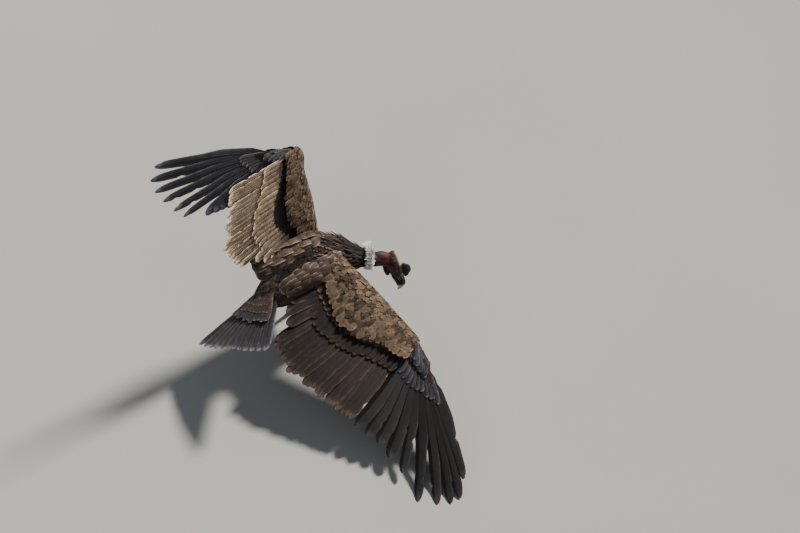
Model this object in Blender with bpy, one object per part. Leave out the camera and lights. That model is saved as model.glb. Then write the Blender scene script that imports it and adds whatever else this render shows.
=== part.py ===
"""A life-size immature male Andean condor, standing low on both feet.

The left wing is held straight up, the right wing is spread out to the side with
its tips on the ground, and the head is bent down to the bird's right.
Metres, +Z up, +X the way the body faces, -Y the bird's right. The floor is z = 0.
The bird is shaped about a point on the floor below its chest, then moved so that
the middle of its left foot is the origin.
"""

import math
import random

import bmesh
import bpy
from mathutils import Matrix, Vector

# Driving dimensions
SHOULDER_HEIGHT = 0.50
SHOULDER_OUT = 0.11
SHOULDER_X = 0.08
HUMERUS = 0.27
ULNA = 0.31
HAND = 0.15
TAIL_LENGTH = 0.38
FOOT = Vector((-0.042, 0.099, 0.0))
GAP = 0.0003
VANE = 0.0011
FLOOR_LIFT = 0.0016
SOFT_LANDING = 0.012
RING = 16

# Torso stations from rump to neck root: x, y, z, half width, half height
TORSO = (
    (-0.328, 0.030, 0.368, 0.032, 0.024),
    (-0.298, 0.026, 0.376, 0.058, 0.046),
    (-0.240, 0.016, 0.390, 0.088, 0.074),
    (-0.150, 0.006, 0.408, 0.116, 0.106),
    (-0.050, 0.000, 0.426, 0.134, 0.128),
    (0.030, -0.002, 0.436, 0.136, 0.128),
    (0.088, -0.006, 0.440, 0.118, 0.112),
    (0.138, -0.024, 0.436, 0.089, 0.089),
    (0.176, -0.044, 0.430, 0.068, 0.072),
)
# Neck stations from inside the chest to inside the skull: centre, radius
NECK = (
    ((0.115, -0.010, 0.432), 0.066),
    ((0.168, -0.050, 0.424), 0.060),
    ((0.217, -0.100, 0.411), 0.049),
    ((0.262, -0.142, 0.404), 0.040),
    ((0.308, -0.168, 0.394), 0.037),
    ((0.340, -0.190, 0.378), 0.034),
)
# Places along the neck where the white collar starts and ends
COLLAR_START = 0.56
COLLAR_END = 0.66
# Head frame: centre, bill direction and crown direction
HEAD_CENTRE = Vector((0.3543, -0.2211, 0.3492))
BILL_WAY = Vector((-0.0176, -0.581, -0.8135)).normalized()
CROWN_WAY = Vector((0.8562, -0.4295, 0.2885)).normalized()

# Primaries of each wing from the inside out: reach from the wrist and angle to the span
RIGHT_REACH = (0.52, 0.53, 0.545, 0.60, 0.665, 0.81, 0.835, 0.84, 0.82, 0.735)
RIGHT_FAN = (77.0, 69.5, 62.0, 55.0, 48.5, 42.0, 35.5, 31.0, 27.3, 24.0)
LEFT_REACH = (0.427, 0.46, 0.50, 0.545, 0.657, 0.703, 0.755, 0.80, 0.83, 0.82)
LEFT_FAN = (100.0, 98.0, 96.3, 94.6, 88.5, 83.5, 77.6, 72.8, 68.1, 63.1)
SECONDARIES = 14
RECTRICES = 12
TAIL_FAN = 32.0

COLOURS = {
    "plumage": (0.10, 0.07, 0.055),
    "wing_coverts": (0.20, 0.155, 0.125),
    "flight_feathers": (0.035, 0.028, 0.028),
    "collar_down": (0.85, 0.84, 0.80),
    "head_skin": (0.06, 0.035, 0.03),
    "comb": (0.03, 0.028, 0.03),
    "bill": (0.05, 0.05, 0.05),
    "eye": (0.25, 0.06, 0.03),
    "leg_scales": (0.12, 0.11, 0.10),
}


def mix(a, b, t):
    """Straight blend of two numbers or vectors."""
    return a + (b - a) * t


def ease(t):
    """Smooth step from 0 to 1."""
    t = min(max(t, 0.0), 1.0)
    return t * t * (3 - 2 * t)


def along(values, t):
    """Value at t, 0 to 1, on a list of evenly spread numbers or vectors."""
    place = min(max(t, 0.0), 1.0) * (len(values) - 1)
    i = min(int(place), len(values) - 2)
    return mix(values[i], values[i + 1], place - i)


def smooth_path(points, t):
    """Point at t, 0 to 1, on a Catmull-Rom curve through the points."""
    place = min(max(t, 0.0), 1.0) * (len(points) - 1)
    i = min(int(place), len(points) - 2)
    u = place - i
    p = [points[min(max(i + k, 0), len(points) - 1)] for k in (-1, 0, 1, 2)]
    a = 2 * p[0] - 5 * p[1] + 4 * p[2] - p[3]
    b = 3 * p[1] - 3 * p[2] + p[3] - p[0]
    return 0.5 * (2 * p[1] + (p[2] - p[0]) * u + a * u * u + b * u * u * u)


def material(slot):
    """One Principled material for each slot."""
    found = bpy.data.materials.get(slot)
    if found:
        return found
    made = bpy.data.materials.new(slot)
    made.use_nodes = True
    shader = made.node_tree.nodes["Principled BSDF"]
    shader.inputs["Base Color"].default_value = (*COLOURS[slot], 1.0)
    shader.inputs["Roughness"].default_value = 0.35 if slot in ("bill", "eye") else 0.75
    return made


def make(name, points, faces):
    """A closed mesh object with its faces turned outwards."""
    mesh = bpy.data.meshes.new(name)
    mesh.from_pydata([tuple(p) for p in points], [], faces)
    work = bmesh.new()
    work.from_mesh(mesh)
    bmesh.ops.recalc_face_normals(work, faces=work.faces)
    if work.calc_volume(signed=True) < 0:
        bmesh.ops.reverse_faces(work, faces=work.faces)
    work.to_mesh(mesh)
    work.free()
    made = bpy.data.objects.new(name, mesh)
    bpy.context.scene.collection.objects.link(made)
    return made


def loft(name, rings, floor=None):
    """Closed body through rings of equal count, with a fan on each end."""
    count = len(rings[0])
    points = [p for ring in rings for p in ring]
    faces = []
    for r in range(len(rings) - 1):
        for k in range(count):
            a, b = r * count + k, r * count + (k + 1) % count
            faces.append((a, b, b + count))
            faces.append((a, b + count, a + count))
    for start, ring in ((0, rings[0]), ((len(rings) - 1) * count, rings[-1])):
        points.append(sum(ring, Vector()) / count)
        hub = len(points) - 1
        faces += [(start + k, start + (k + 1) % count, hub) for k in range(count)]
    if floor is not None:
        points = [Vector((p.x, p.y, max(p.z, floor))) for p in points]
    return make(name, points, faces)


def ring_at(centre, side, up, count=RING):
    """Ellipse of points from two half-axis vectors."""
    turns = [2 * math.pi * (k + 0.5) / count for k in range(count)]
    return [centre + side * math.cos(a) + up * math.sin(a) for a in turns]


def tube(name, stations, count=10, floor=None, flat=1.0):
    """Closed tube through (centre, radius) stations, its rings square to the path."""
    rings = []
    last = len(stations) - 1
    for i, (centre, radius) in enumerate(stations):
        way = Vector(stations[min(i + 1, last)][0]) - Vector(stations[max(i - 1, 0)][0])
        way.normalize()
        side = way.cross(Vector((0, 0, 1)))
        side = side.normalized() if side.length > 0.2 else Vector((0, 1, 0))
        up = side.cross(way).normalized()
        rings.append(ring_at(Vector(centre), side * radius, up * radius * flat, count))
    return loft(name, rings, floor)


def vane(name, path, normal, width, profile, tilt=0.0, ridge=0.8, lift=None):
    """One feather: a thin blade along path, flat below and roofed above by ridge.

    normal is the blade's upper side, tilt rolls it about its shaft in degrees, and
    profile lists (place along the path, share of the full width).
    """
    points, faces = [], []
    for place, share in profile:
        centre = smooth_path(path, place)
        way = (smooth_path(path, place + 0.02) - smooth_path(path, place - 0.02)).normalized()
        side = way.cross(normal).normalized()
        up = side.cross(way).normalized()
        roll = Matrix.Rotation(math.radians(tilt), 3, way)
        side, up = roll @ side, roll @ up
        half = side * width * share / 2
        thick = up * VANE * mix(1.0, 0.6, place)
        cross = [centre - half, centre - half + thick]
        cross += [centre + thick * (1 + ridge)] if ridge else []
        cross += [centre + half + thick, centre + half]
        if lift is not None:
            low = min(p.z for p in cross)
            cross = [Vector((p.x, p.y, lift(p.z, low))) for p in cross]
        points += cross
    ring = len(cross)
    for s in range(len(profile) - 1):
        for k in range(ring):
            a, b = s * ring + k, s * ring + (k + 1) % ring
            faces += [(a, b, b + ring), (a, b + ring, a + ring)]
    for end in (0, (len(profile) - 1) * ring):
        faces += [(end, end + k, end + k + 1) for k in range(1, ring - 1)]
    return make(name, points, faces)


LONG_VANE = ((0.0, 0.12), (0.18, 0.85), (0.58, 1.0), (0.90, 0.76), (1.0, 0.24))
FINGER_VANE = ((0.0, 0.14), (0.16, 0.85), (0.44, 1.0), (0.60, 0.62), (0.88, 0.5), (1.0, 0.14))
SHORT_VANE = ((0.0, 0.15), (0.35, 0.95), (0.75, 1.0), (1.0, 0.35))
POINTED_VANE = ((0.0, 0.2), (0.35, 1.0), (0.72, 0.75), (1.0, 0.12))


def only_largest(mesh):
    """Keeps the mesh's largest closed surface."""
    work = bmesh.new()
    work.from_mesh(mesh)
    bmesh.ops.remove_doubles(work, verts=work.verts, dist=0.000002)
    bmesh.ops.dissolve_degenerate(work, edges=work.edges, dist=0.000002)
    bmesh.ops.triangulate(work, faces=work.faces)
    left = set(work.faces)
    shells = []
    while left:
        shell, edge = set(), [left.pop()]
        while edge:
            face = edge.pop()
            shell.add(face)
            near = {f for e in face.edges for f in e.link_faces} & left
            left -= near
            edge += near
        size = sum(f.calc_area() for f in shell)
        shells.append((size, shell))
    largest = max(shells, key=lambda s: s[0])[1]
    loose = [f for f in work.faces if f not in largest]
    bmesh.ops.delete(work, geom=loose, context="FACES")
    work.to_mesh(mesh)
    work.free()


def apply_boolean(target, others, operation, solver="MANIFOLD"):
    """Joins to target, or cuts from it, every object of others, then removes them."""
    if not others:
        return target
    group = bpy.data.collections.new("boolean")
    bpy.context.scene.collection.children.link(group)
    for other in others:
        group.objects.link(other)
    step = target.modifiers.new("boolean", "BOOLEAN")
    step.operation = operation
    step.operand_type = "COLLECTION"
    step.collection = group
    step.solver = solver
    bpy.context.view_layer.update()
    graph = bpy.context.evaluated_depsgraph_get()
    mesh = bpy.data.meshes.new_from_object(target.evaluated_get(graph))
    target.modifiers.clear()
    target.data = mesh
    for other in others:
        bpy.data.objects.remove(other)
    bpy.data.collections.remove(group)
    only_largest(target.data)
    return target


def swollen(target):
    """A copy of an object's mesh swollen past the gap, to clear it from a neighbour."""
    mesh = target.data.copy()
    work = bmesh.new()
    work.from_mesh(mesh)
    work.normal_update()
    moves = [v.normal * GAP * 2 for v in work.verts]
    for v, move in zip(work.verts, moves):
        v.co += move
    work.to_mesh(mesh)
    work.free()
    return mesh


def clear_of(target, meshes):
    """Cuts target clear of every swollen mesh."""
    cutters = []
    for mesh in meshes:
        cutters.append(bpy.data.objects.new("clear", mesh))
        bpy.context.scene.collection.objects.link(cutters[-1])
    return apply_boolean(target, cutters, "DIFFERENCE")


def finish(target, slot, collection):
    """Gives a node its material and its place in the bird's collection."""
    target.data.transform(Matrix.Translation(-FOOT))
    target.data.materials.clear()
    target.data.materials.append(material(slot))
    target.data.shade_smooth()
    target.data.set_sharp_from_angle(angle=math.radians(35))
    bpy.context.scene.collection.objects.unlink(target)
    collection.objects.link(target)
    return target


def torso_body(name, grow=0.0):
    """The trunk; grow swells it evenly, for the cutters that clear it."""
    rings = []
    for i, (x, y, z, wide, high) in enumerate(TORSO):
        before, after = TORSO[max(i - 1, 0)], TORSO[min(i + 1, len(TORSO) - 1)]
        way = (Vector(after[:3]) - Vector(before[:3])).normalized()
        side = Vector((0, 1, 0))
        up = way.cross(side).normalized() * -1
        shift = way * grow * (-1 if i == 0 else 1 if i == len(TORSO) - 1 else 0)
        rings.append(ring_at(Vector((x, y, z)) + shift, side * (wide + grow), up * (high + grow)))
    return loft(name, rings)


def torso_skin(x, turn, lift):
    """A point lift above the trunk's skin at x, turn in degrees from the top to the right."""
    stations = [Vector(s) for s in TORSO]
    i = max(k for k in range(len(stations) - 1) if stations[k][0] <= x or k == 0)
    place = (x - stations[i][0]) / (stations[i + 1][0] - stations[i][0])
    _, y, z, wide, high = (mix(a, b, place) for a, b in zip(TORSO[i], TORSO[i + 1]))
    angle = math.radians(turn)
    return Vector((x, y - (wide + lift) * math.sin(angle), z + (high + lift) * math.cos(angle)))


def scapulars(side, reach_down):
    """Three tiers of large rounded feathers down one side of the back."""
    made = []
    chance = random.Random(21)
    for tier, (x, count, length) in enumerate(((0.100, 3, 0.135), (0.035, 3, 0.150), (-0.045, 3, 0.165))):
        for k in range(count):
            turn = side * -1 * mix(16 + 5 * (tier % 2), reach_down, k / (count - 1))
            reach = length * chance.uniform(0.95, 1.08)
            stops = ((0.0, -0.010), (0.3, 0.011), (0.65, 0.018), (1.0, 0.022))
            path = [torso_skin(x - reach * u, turn * (1 - 0.1 * u), h) for u, h in stops]
            high, low = (torso_skin(x - reach / 2, turn, h) for h in (0.1, 0.0))
            made.append(vane(f"scapular{tier}{k}", path, (high - low).normalized(), 0.062,
                             SHORT_VANE, 8.0 * side, 0))
    return made


def neck_point(t):
    """Centre and radius on the neck at t, 0 in the chest and 1 at the skull."""
    centre = smooth_path([Vector(c) for c, _ in NECK], t)
    return centre, along([r for _, r in NECK], t)


def neck_frame(t):
    """Centre, radius, way, side and back (towards the nape) of the neck at t."""
    centre, radius = neck_point(t)
    way = (neck_point(t + 0.04)[0] - neck_point(t - 0.04)[0]).normalized()
    nape = mix(Vector((0, 0, 1)), CROWN_WAY, ease(t))
    side = way.cross(nape).normalized()
    return centre, radius, way, side, side.cross(way).normalized()


def neck_length(name, start, end, grow=0.0, steps=7):
    """A length of the bare neck between two places on it."""
    rings = []
    for i in range(steps):
        centre, radius, _, side, nape = neck_frame(mix(start, end, i / (steps - 1)))
        rings.append(ring_at(centre, side * (radius + grow), nape * (radius + grow), 12))
    return loft(name, rings)


def neck_vanes(prefix, place, count, turn, length, width, rise, spread=1.0, seed=1):
    """A ring of lanceolate feathers round the neck, lying back towards the body."""
    made = []
    chance = random.Random(seed)
    for k in range(count):
        angle = 2 * math.pi * (k + turn) / count * spread
        centre, radius, way, side, nape = neck_frame(place)
        out = nape * math.cos(angle) + side * math.sin(angle)
        root = centre + out * (radius - 0.006)
        reach = length * chance.uniform(0.85, 1.12)
        middle = root - way * reach * 0.5 + out * (rise * 0.75 + 0.006)
        tip = root - way * reach + out * (rise + 0.004)
        path = [root, middle, tip]
        made.append(vane(f"{prefix}{k}", path, out, width, POINTED_VANE, 9, 0))
    return made


class Wing:
    """One wing as a plane of feathers: places are (outward, backward, above) from the wrist."""

    def __init__(self, side, out, back, spread, fan, reach, secondary, sweep, droop, bulge, sink):
        self.side = side
        self.shoulder = Vector((SHOULDER_X, SHOULDER_OUT * side, SHOULDER_HEIGHT))
        self.out = Vector(out).normalized()
        self.back = Vector(back)
        self.back = (self.back - self.out * self.back.dot(self.out)).normalized()
        self.above = self.out.cross(self.back) * side
        self.spread = spread
        self.wrist = self.shoulder + self.out * spread
        self.fan = fan
        self.reach = reach
        self.secondary = secondary
        self.sweep = sweep
        self.droop = droop
        self.bulge = bulge
        self.sink = sink
        fore = (HUMERUS**2 - ULNA**2 + spread**2) / (2 * spread)
        self.elbow = (fore - spread, math.sqrt(max(HUMERUS**2 - fore**2, 0.0)))

    def at(self, outward, backward, above=0.0):
        """A point of the wing, arched behind the bones and drooped towards the tips."""
        bow = max(backward - 0.05, 0.0)
        reach = math.hypot(max(outward, 0.0), bow)
        fall = 0.07 * bow * bow + self.droop * reach * reach
        point = self.wrist + self.out * outward + self.back * backward
        return point + self.above * (above - fall)

    def settle(self, z, low):
        """Lifts what would sink below the floor, so that the tips lie on it."""
        if low > FLOOR_LIFT + SOFT_LANDING:
            return z
        fall = (low - FLOOR_LIFT - SOFT_LANDING) / SOFT_LANDING
        return z - low + FLOOR_LIFT + SOFT_LANDING * math.exp(fall)

    def bone_back(self, t):
        """How far behind the shoulder-to-wrist line the bones lie, t from shoulder to wrist."""
        at_elbow = (self.elbow[0] + self.spread) / self.spread
        bump = t / at_elbow if t < at_elbow else (1 - t) / (1 - at_elbow)
        return self.elbow[1] * ease(max(bump, 0.0))

    def arm(self, name, grow=0.0):
        """Flesh of the upper arm and forearm with the web of skin before them."""
        rings = []
        steps = 9
        for i in range(steps):
            t = mix(-0.10, 1.0, i / (steps - 1))
            front = -0.018 - 0.018 * (1 - max(t, 0.0)) - self.bulge * math.sin(math.pi * max(t, 0.0))
            rear = self.bone_back(t) + mix(0.042, 0.020, max(t, 0.0))
            outward = self.spread * (t - 1)
            middle = self.at(outward, (front + rear) / 2)
            half = (rear - front) / 2 + grow
            thick = mix(0.040, 0.015, ease(max(t, 0.0))) + grow
            rings.append(ring_at(middle, self.back * half, self.above * thick, 14))
        return loft(name, rings)

    def hand(self, name):
        """Flesh of the hand, from just past the wrist to the finger tip."""
        way = self.hand_way()
        across = way.cross(self.above)
        rings = []
        for t, wide, thick in ((0.01, 0.026, 0.015), (0.4, 0.024, 0.013), (1.0, 0.008, 0.006)):
            centre = self.wrist + way * HAND * t - self.above * self.sink
            rings.append(ring_at(centre, across * wide, self.above * thick, 12))
        return loft(name, rings)

    def hand_way(self):
        """Direction of the hand's bones."""
        angle = math.radians(self.fan[-1] - 6)
        return self.out * math.cos(angle) + self.back * math.sin(angle)

    def primaries(self):
        """Ten long feathers of the hand, the outer ones fingered."""
        made = []
        count = len(self.reach)
        for k in range(count):
            angle = math.radians(self.fan[k])
            reach = self.reach[k]
            root = self.wrist + self.hand_way() * mix(0.012, HAND * 0.94, k / (count - 1))
            root = root + self.back * 0.006 - self.above * self.sink
            local = root - self.wrist
            start = (local.dot(self.out), local.dot(self.back))
            goal = (reach * math.cos(angle), reach * math.sin(angle))
            path = []
            for i in range(5):
                t = i / 4
                swing = 0.018 * math.sin(math.pi * t)
                place = (mix(start[0], goal[0], t) + swing, mix(start[1], goal[1], t))
                path.append(self.at(*place, -self.sink))
            path[0] = root
            profile = FINGER_VANE if k >= 4 else LONG_VANE
            wide = mix(0.064, 0.070, k / (count - 1))
            name = f"primary{k}"
            tilt = -6.0 * self.side
            made.append(vane(name, path, self.above, wide, profile, tilt, 0.8, self.settle))
        return made

    def row(self, prefix, count, start, end, first, last, length, width, above, profile, seed):
        """A tier of the arm's feathers, from the wrist in towards the shoulder.

        start and end are the places (share of the arm, shift behind the bones) of the
        first and last roots, first and last the directions in degrees from the span.
        """
        made = []
        chance = random.Random(seed)
        for k in range(count):
            share = k / (count - 1)
            t = mix(start[0], end[0], share)
            behind = mix(start[1], end[1], share)
            outward = self.spread * (t - 1)
            backward = self.bone_back(t) + behind
            angle = math.radians(mix(first, last, share) + chance.uniform(-1.5, 1.5))
            reach = mix(length[0], length[1], share) * chance.uniform(0.95, 1.05)
            path = []
            for i in range(4):
                u = i / 3
                away = (math.cos(angle) * reach * u, math.sin(angle) * reach * u)
                height = mix(above[0], above[1], ease(u))
                path.append(self.at(outward + away[0], backward + away[1], height))
            tilt = -7.0 * self.side
            name = f"{prefix}{k}"
            made.append(vane(name, path, self.above, width, profile, tilt, 0, self.settle))
        return made

    def arm_feathers(self):
        """Secondaries and the tiers of coverts over them."""
        first, last = self.sweep
        outer, inner = self.secondary
        made = self.row("secondary", SECONDARIES, (0.97, 0.004), (0.30, 0.012), first, last,
                        (outer, inner), 0.058, (0.0, 0.0), LONG_VANE, 11)
        made += self.row("tertial", 3, (0.24, 0.010), (0.10, 0.010), last + 1, last + 7,
                         (inner * 0.80, inner * 0.60), 0.066, (0.004, 0.008), LONG_VANE, 12)
        made += self.row("greater", 9, (0.98, -0.004), (0.18, 0.0), first, last,
                         (0.21, 0.24), 0.064, (0.013, 0.007), SHORT_VANE, 13)
        made += self.row("median", 8, (0.96, -0.012), (0.16, -0.015), first, last,
                         (0.11, 0.15), 0.064, (0.019, 0.018), SHORT_VANE, 14)
        made += self.row("lesser", 8, (0.93, -0.022), (0.14, -0.06), first, last,
                         (0.07, 0.12), 0.060, (0.022, 0.030), SHORT_VANE, 15)
        return made

    def hand_feathers(self):
        """Primaries, their coverts and the three feathers of the thumb."""
        made = self.primaries()
        covers = 7
        for k in range(covers):
            share = (k + 0.5) / covers
            angle = math.radians(along(self.fan, share))
            root = self.hand_way() * mix(0.014, HAND * 0.9, share)
            local = (root.dot(self.out), root.dot(self.back))
            reach = mix(0.17, 0.21, share)
            path = []
            for i in range(4):
                u = i / 3
                away = (math.cos(angle) * reach * u, math.sin(angle) * reach * u)
                height = mix(0.010, 0.006, u) - self.sink
                path.append(self.at(local[0] + away[0], local[1] + away[1], height))
            tilt = -8.0 * self.side
            made.append(vane(f"cover{k}", path, self.above, 0.036, SHORT_VANE, tilt, 0, self.settle))
        for k in range(3):
            angle = math.radians(self.fan[-1] + 6 + 7 * k)
            reach = 0.19 - 0.035 * k
            path = []
            for i in range(4):
                u = i / 3
                away = (math.cos(angle) * reach * u, math.sin(angle) * reach * u)
                path.append(self.at(0.010 + away[0], away[1] - 0.002, 0.016 + 0.004 * k - self.sink))
            tilt = -8.0 * self.side
            made.append(vane(f"thumb{k}", path, self.above, 0.034, SHORT_VANE, tilt, 0, self.settle))
        return made


class Tail:
    """A spread fan of twelve feathers, turned a little to the bird's right."""

    root = Vector((-0.243, 0.033, 0.404))
    way = Vector((-0.9466, -0.3006, -0.1178)).normalized()
    base = 0.036

    def __init__(self):
        lean = Vector((-0.252, 0.459, 0.852))
        self.above = (lean - self.way * lean.dot(self.way)).normalized()
        self.left = self.way.cross(self.above).normalized()

    def feather(self, name, share, span, width, heights, profile, tilt, ridge=0.8):
        """One feather of the fan: share runs from -1 at the right edge to 1 at the left."""
        turn = math.radians(share * TAIL_FAN)
        way = self.way * math.cos(turn) + self.left * math.sin(turn)
        foot = self.root + self.left * self.base * share
        path = []
        for i in range(5):
            u = i / 4
            reach = mix(span[0], span[1], u)
            fall = 0.10 * reach * reach
            path.append(foot + way * reach + self.above * (along(heights, u) - fall))
        return vane(name, path, self.above, width, profile, tilt, ridge)

    def feathers(self):
        """Twelve long feathers, the middle pair on top, and their coverts above."""
        made = []
        for k in range(RECTRICES):
            share = (2 * k + 1) / RECTRICES - 1
            length = TAIL_LENGTH * (1 + (0.16 if share > 0 else 0.07) * abs(share))
            level = -0.012 * abs(share)
            tilt = 5.0 if share > 0 else -5.0
            made.append(self.feather(f"rectrix{k}", share, (0.07, length), 0.062,
                                     (level, level), LONG_VANE, tilt))
        for k in range(7):
            share = (2 * k + 1) / 7 - 1
            tilt = 6.0 if share > 0 else -6.0
            made.append(self.feather(f"covert{k}", share * 0.86, (0.07, 0.20), 0.056,
                                     (0.002, 0.014, 0.013, 0.011), SHORT_VANE, tilt, 0))
        return made

    def stump(self, name):
        """The fleshy root that the fan grows from."""
        rings = []
        for reach, wide, high in ((0.02, 0.040, 0.016), (0.09, 0.072, 0.014), (0.13, 0.082, 0.007)):
            centre = self.root + self.way * reach - self.above * 0.004
            rings.append(ring_at(centre, self.left * wide, self.above * high, 12))
        return loft(name, rings)


class Head:
    """Places on the head as (towards the bill, to the left, towards the crown)."""

    def __init__(self):
        self.left = CROWN_WAY.cross(BILL_WAY).normalized()
        self.up = BILL_WAY.cross(self.left).normalized()

    def at(self, forward, left, up):
        """A point in the head's own frame."""
        return HEAD_CENTRE + BILL_WAY * forward + self.left * left + self.up * up

    def sections(self, name, stations, count=12):
        """A loft across the head through (forward, up, half width, half height) stations."""
        rings = []
        for forward, up, wide, high in stations:
            rings.append(ring_at(self.at(forward, 0, up), self.left * wide, self.up * high, count))
        return loft(name, rings)

    def blob(self, name, centre, size, turn=0.0, count=(8, 6)):
        """An ellipsoid in the head's frame, turned about the left axis in degrees."""
        work = bmesh.new()
        bmesh.ops.create_uvsphere(work, u_segments=count[0], v_segments=count[1], radius=1.0)
        swing = Matrix.Rotation(math.radians(turn), 3, "Y")
        points = []
        for v in work.verts:
            local = swing @ Vector([v.co[i] * size[i] for i in range(3)])
            points.append(self.at(centre[0] + local.x, centre[1] + local.y, centre[2] + local.z))
        faces = [tuple(v.index for v in f.verts) for f in work.faces]
        work.free()
        return make(name, points, faces)

    def skull(self):
        """Skull, brow, cheek folds and throat wattle, with sockets for the eyes."""
        base = self.sections("head", (
            (-0.078, -0.004, 0.012, 0.012), (-0.070, -0.003, 0.026, 0.026),
            (-0.048, 0.000, 0.035, 0.037), (-0.015, 0.001, 0.0375, 0.0405),
            (0.012, -0.001, 0.0345, 0.038), (0.034, -0.001, 0.0270, 0.0325),
            (0.0467, 0.000, 0.0215, 0.0275)))
        pieces = [neck_length("bare_neck", COLLAR_END + 0.004, 1.0)]
        pieces.append(self.blob("throat", (-0.006, 0, -0.042), (0.042, 0.011, 0.018), 8))
        pieces.append(self.blob("nape_fold", (-0.060, 0, 0.014), (0.022, 0.027, 0.020), 20))
        for side in (-1, 1):
            pieces.append(self.blob(f"brow{side}", (0.010, side * 0.027, 0.020), (0.024, 0.008, 0.006), 12))
            pieces.append(self.blob(f"cheek{side}", (-0.034, side * 0.030, 0.004), (0.010, 0.008, 0.020), 10))
            pieces.append(self.blob(f"lid_up{side}", (0.013, side * 0.0305, 0.0125), (0.0115, 0.0058, 0.0042), 0, (8, 5)))
            pieces.append(self.blob(f"lid_low{side}", (0.013, side * 0.0305, -0.0035), (0.0105, 0.0058, 0.0036), 0, (8, 5)))
        apply_boolean(base, pieces, "UNION")
        holes = [self.blob(f"hole{s}", (0.013, s * 0.0315, 0.0045), (0.0083, 0.0083, 0.0083)) for s in (-1, 1)]
        return apply_boolean(base, holes, "DIFFERENCE")

    def eye(self, side):
        """An eyeball set in its socket."""
        name = "eye_left" if side > 0 else "eye_right"
        return self.blob(name, (0.013, side * 0.0315, 0.0045), (0.0079, 0.0079, 0.0079))

    def comb(self):
        """The fleshy crest from the bill's root back over the crown."""
        rings = []
        outline = ((-0.004, 0.040, 0.006), (0.004, 0.045, 0.014), (0.018, 0.051, 0.022),
                   (0.038, 0.053, 0.025), (0.056, 0.050, 0.023), (0.070, 0.043, 0.016),
                   (0.077, 0.039, 0.007))
        for forward, up, high in outline:
            thick = 0.0095 if high > 0.01 else 0.0050
            rings.append(ring_at(self.at(forward, 0, up), self.left * thick, self.up * high, 12))
        return loft("comb", rings)

    def bill_upper(self):
        """Cere and hooked upper mandible, with a nostril through the cere."""
        base = self.sections("bill_upper", (
            (0.0470, 0.004, 0.0205, 0.0260), (0.062, 0.006, 0.0175, 0.0230),
            (0.080, 0.006, 0.0150, 0.0200), (0.096, 0.004, 0.0135, 0.0200),
            (0.110, -0.003, 0.0110, 0.0200), (0.120, -0.014, 0.0075, 0.0150),
            (0.1235, -0.027, 0.0040, 0.0090), (0.1220, -0.038, 0.0012, 0.0025)), 14)
        hole = self.blob("nostril", (0.068, 0, 0.010), (0.006, 0.03, 0.0028), 0, (8, 6))
        return apply_boolean(base, [hole], "DIFFERENCE")

    def bill_lower(self):
        """Lower mandible, parted from the upper by the line of the mouth."""
        return self.sections("bill_lower", (
            (0.0470, -0.0285, 0.0165, 0.0058), (0.064, -0.0250, 0.0138, 0.0060),
            (0.082, -0.0225, 0.0110, 0.0052), (0.096, -0.0240, 0.0080, 0.0040),
            (0.104, -0.0275, 0.0040, 0.0020)), 12)


def leg_pieces(side):
    """Feathered shank, scaled tarsus and foot of one leg, as separate closed pieces."""
    y = FOOT.y * 0.96 * side
    heel = Vector((-0.112, y, 0.128))
    foot = Vector((FOOT.x - 0.004, FOOT.y * side, 0.026))
    tag = "left" if side > 0 else "right"
    shank = tube(f"shank_{tag}", (
        (Vector((0.010, y * 0.80, 0.345)), 0.055), (Vector((-0.010, y * 0.88, 0.290)), 0.060),
        (Vector((-0.046, y * 0.95, 0.232)), 0.050), (Vector((-0.080, y * 0.99, 0.178)), 0.033),
        (Vector((-0.102, y, 0.150)), 0.020)), 14)
    shin = [(heel + Vector((0.0, 0, 0.012)), 0.0125), (heel, 0.0155)]
    shin += [(mix(heel, foot, t), 0.0115 + 0.002 * abs(t - 0.5)) for t in (0.25, 0.5, 0.75)]
    shin += [(foot, 0.0140), (foot + Vector((0.006, 0, -0.012)), 0.0115)]
    tarsus = tube(f"tarsus_{tag}", shin, 10, 0.0)
    toes = []
    for k, (angle, length) in enumerate(((-26, 0.088), (0, 0.122), (26, 0.088), (172, 0.042))):
        turn = math.radians(angle - 4 * side)
        way = Vector((math.cos(turn), math.sin(turn), 0))
        start = foot + Vector((0, 0, -0.010))
        toe = []
        for t, high, radius in (
                (0.0, 0.0160, 0.0112), (0.33, 0.0070, 0.0088), (0.5, 0.0070, 0.0096),
                (0.67, 0.0068, 0.0078), (0.94, 0.0076, 0.0080), (0.98, 0.0105, 0.0052),
                (1.12, 0.0110, 0.0042), (1.24, 0.0050, 0.0014)):
            point = start + way * length * t
            toe.append((Vector((point.x, point.y, high)), radius))
        toes.append(tube(f"toe{k}", toe, 8, 0.0))
    pad = ((-0.018, 0.0115, 0.009), (-0.006, 0.0105, 0.0165), (0.010, 0.0105, 0.0165),
           (0.022, 0.0095, 0.010))
    pad = [(Vector((foot.x + x, foot.y, z)), radius) for x, z, radius in pad]
    toes.append(tube("pad", pad, 8, 0.0))
    return shank, tarsus, toes


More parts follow.
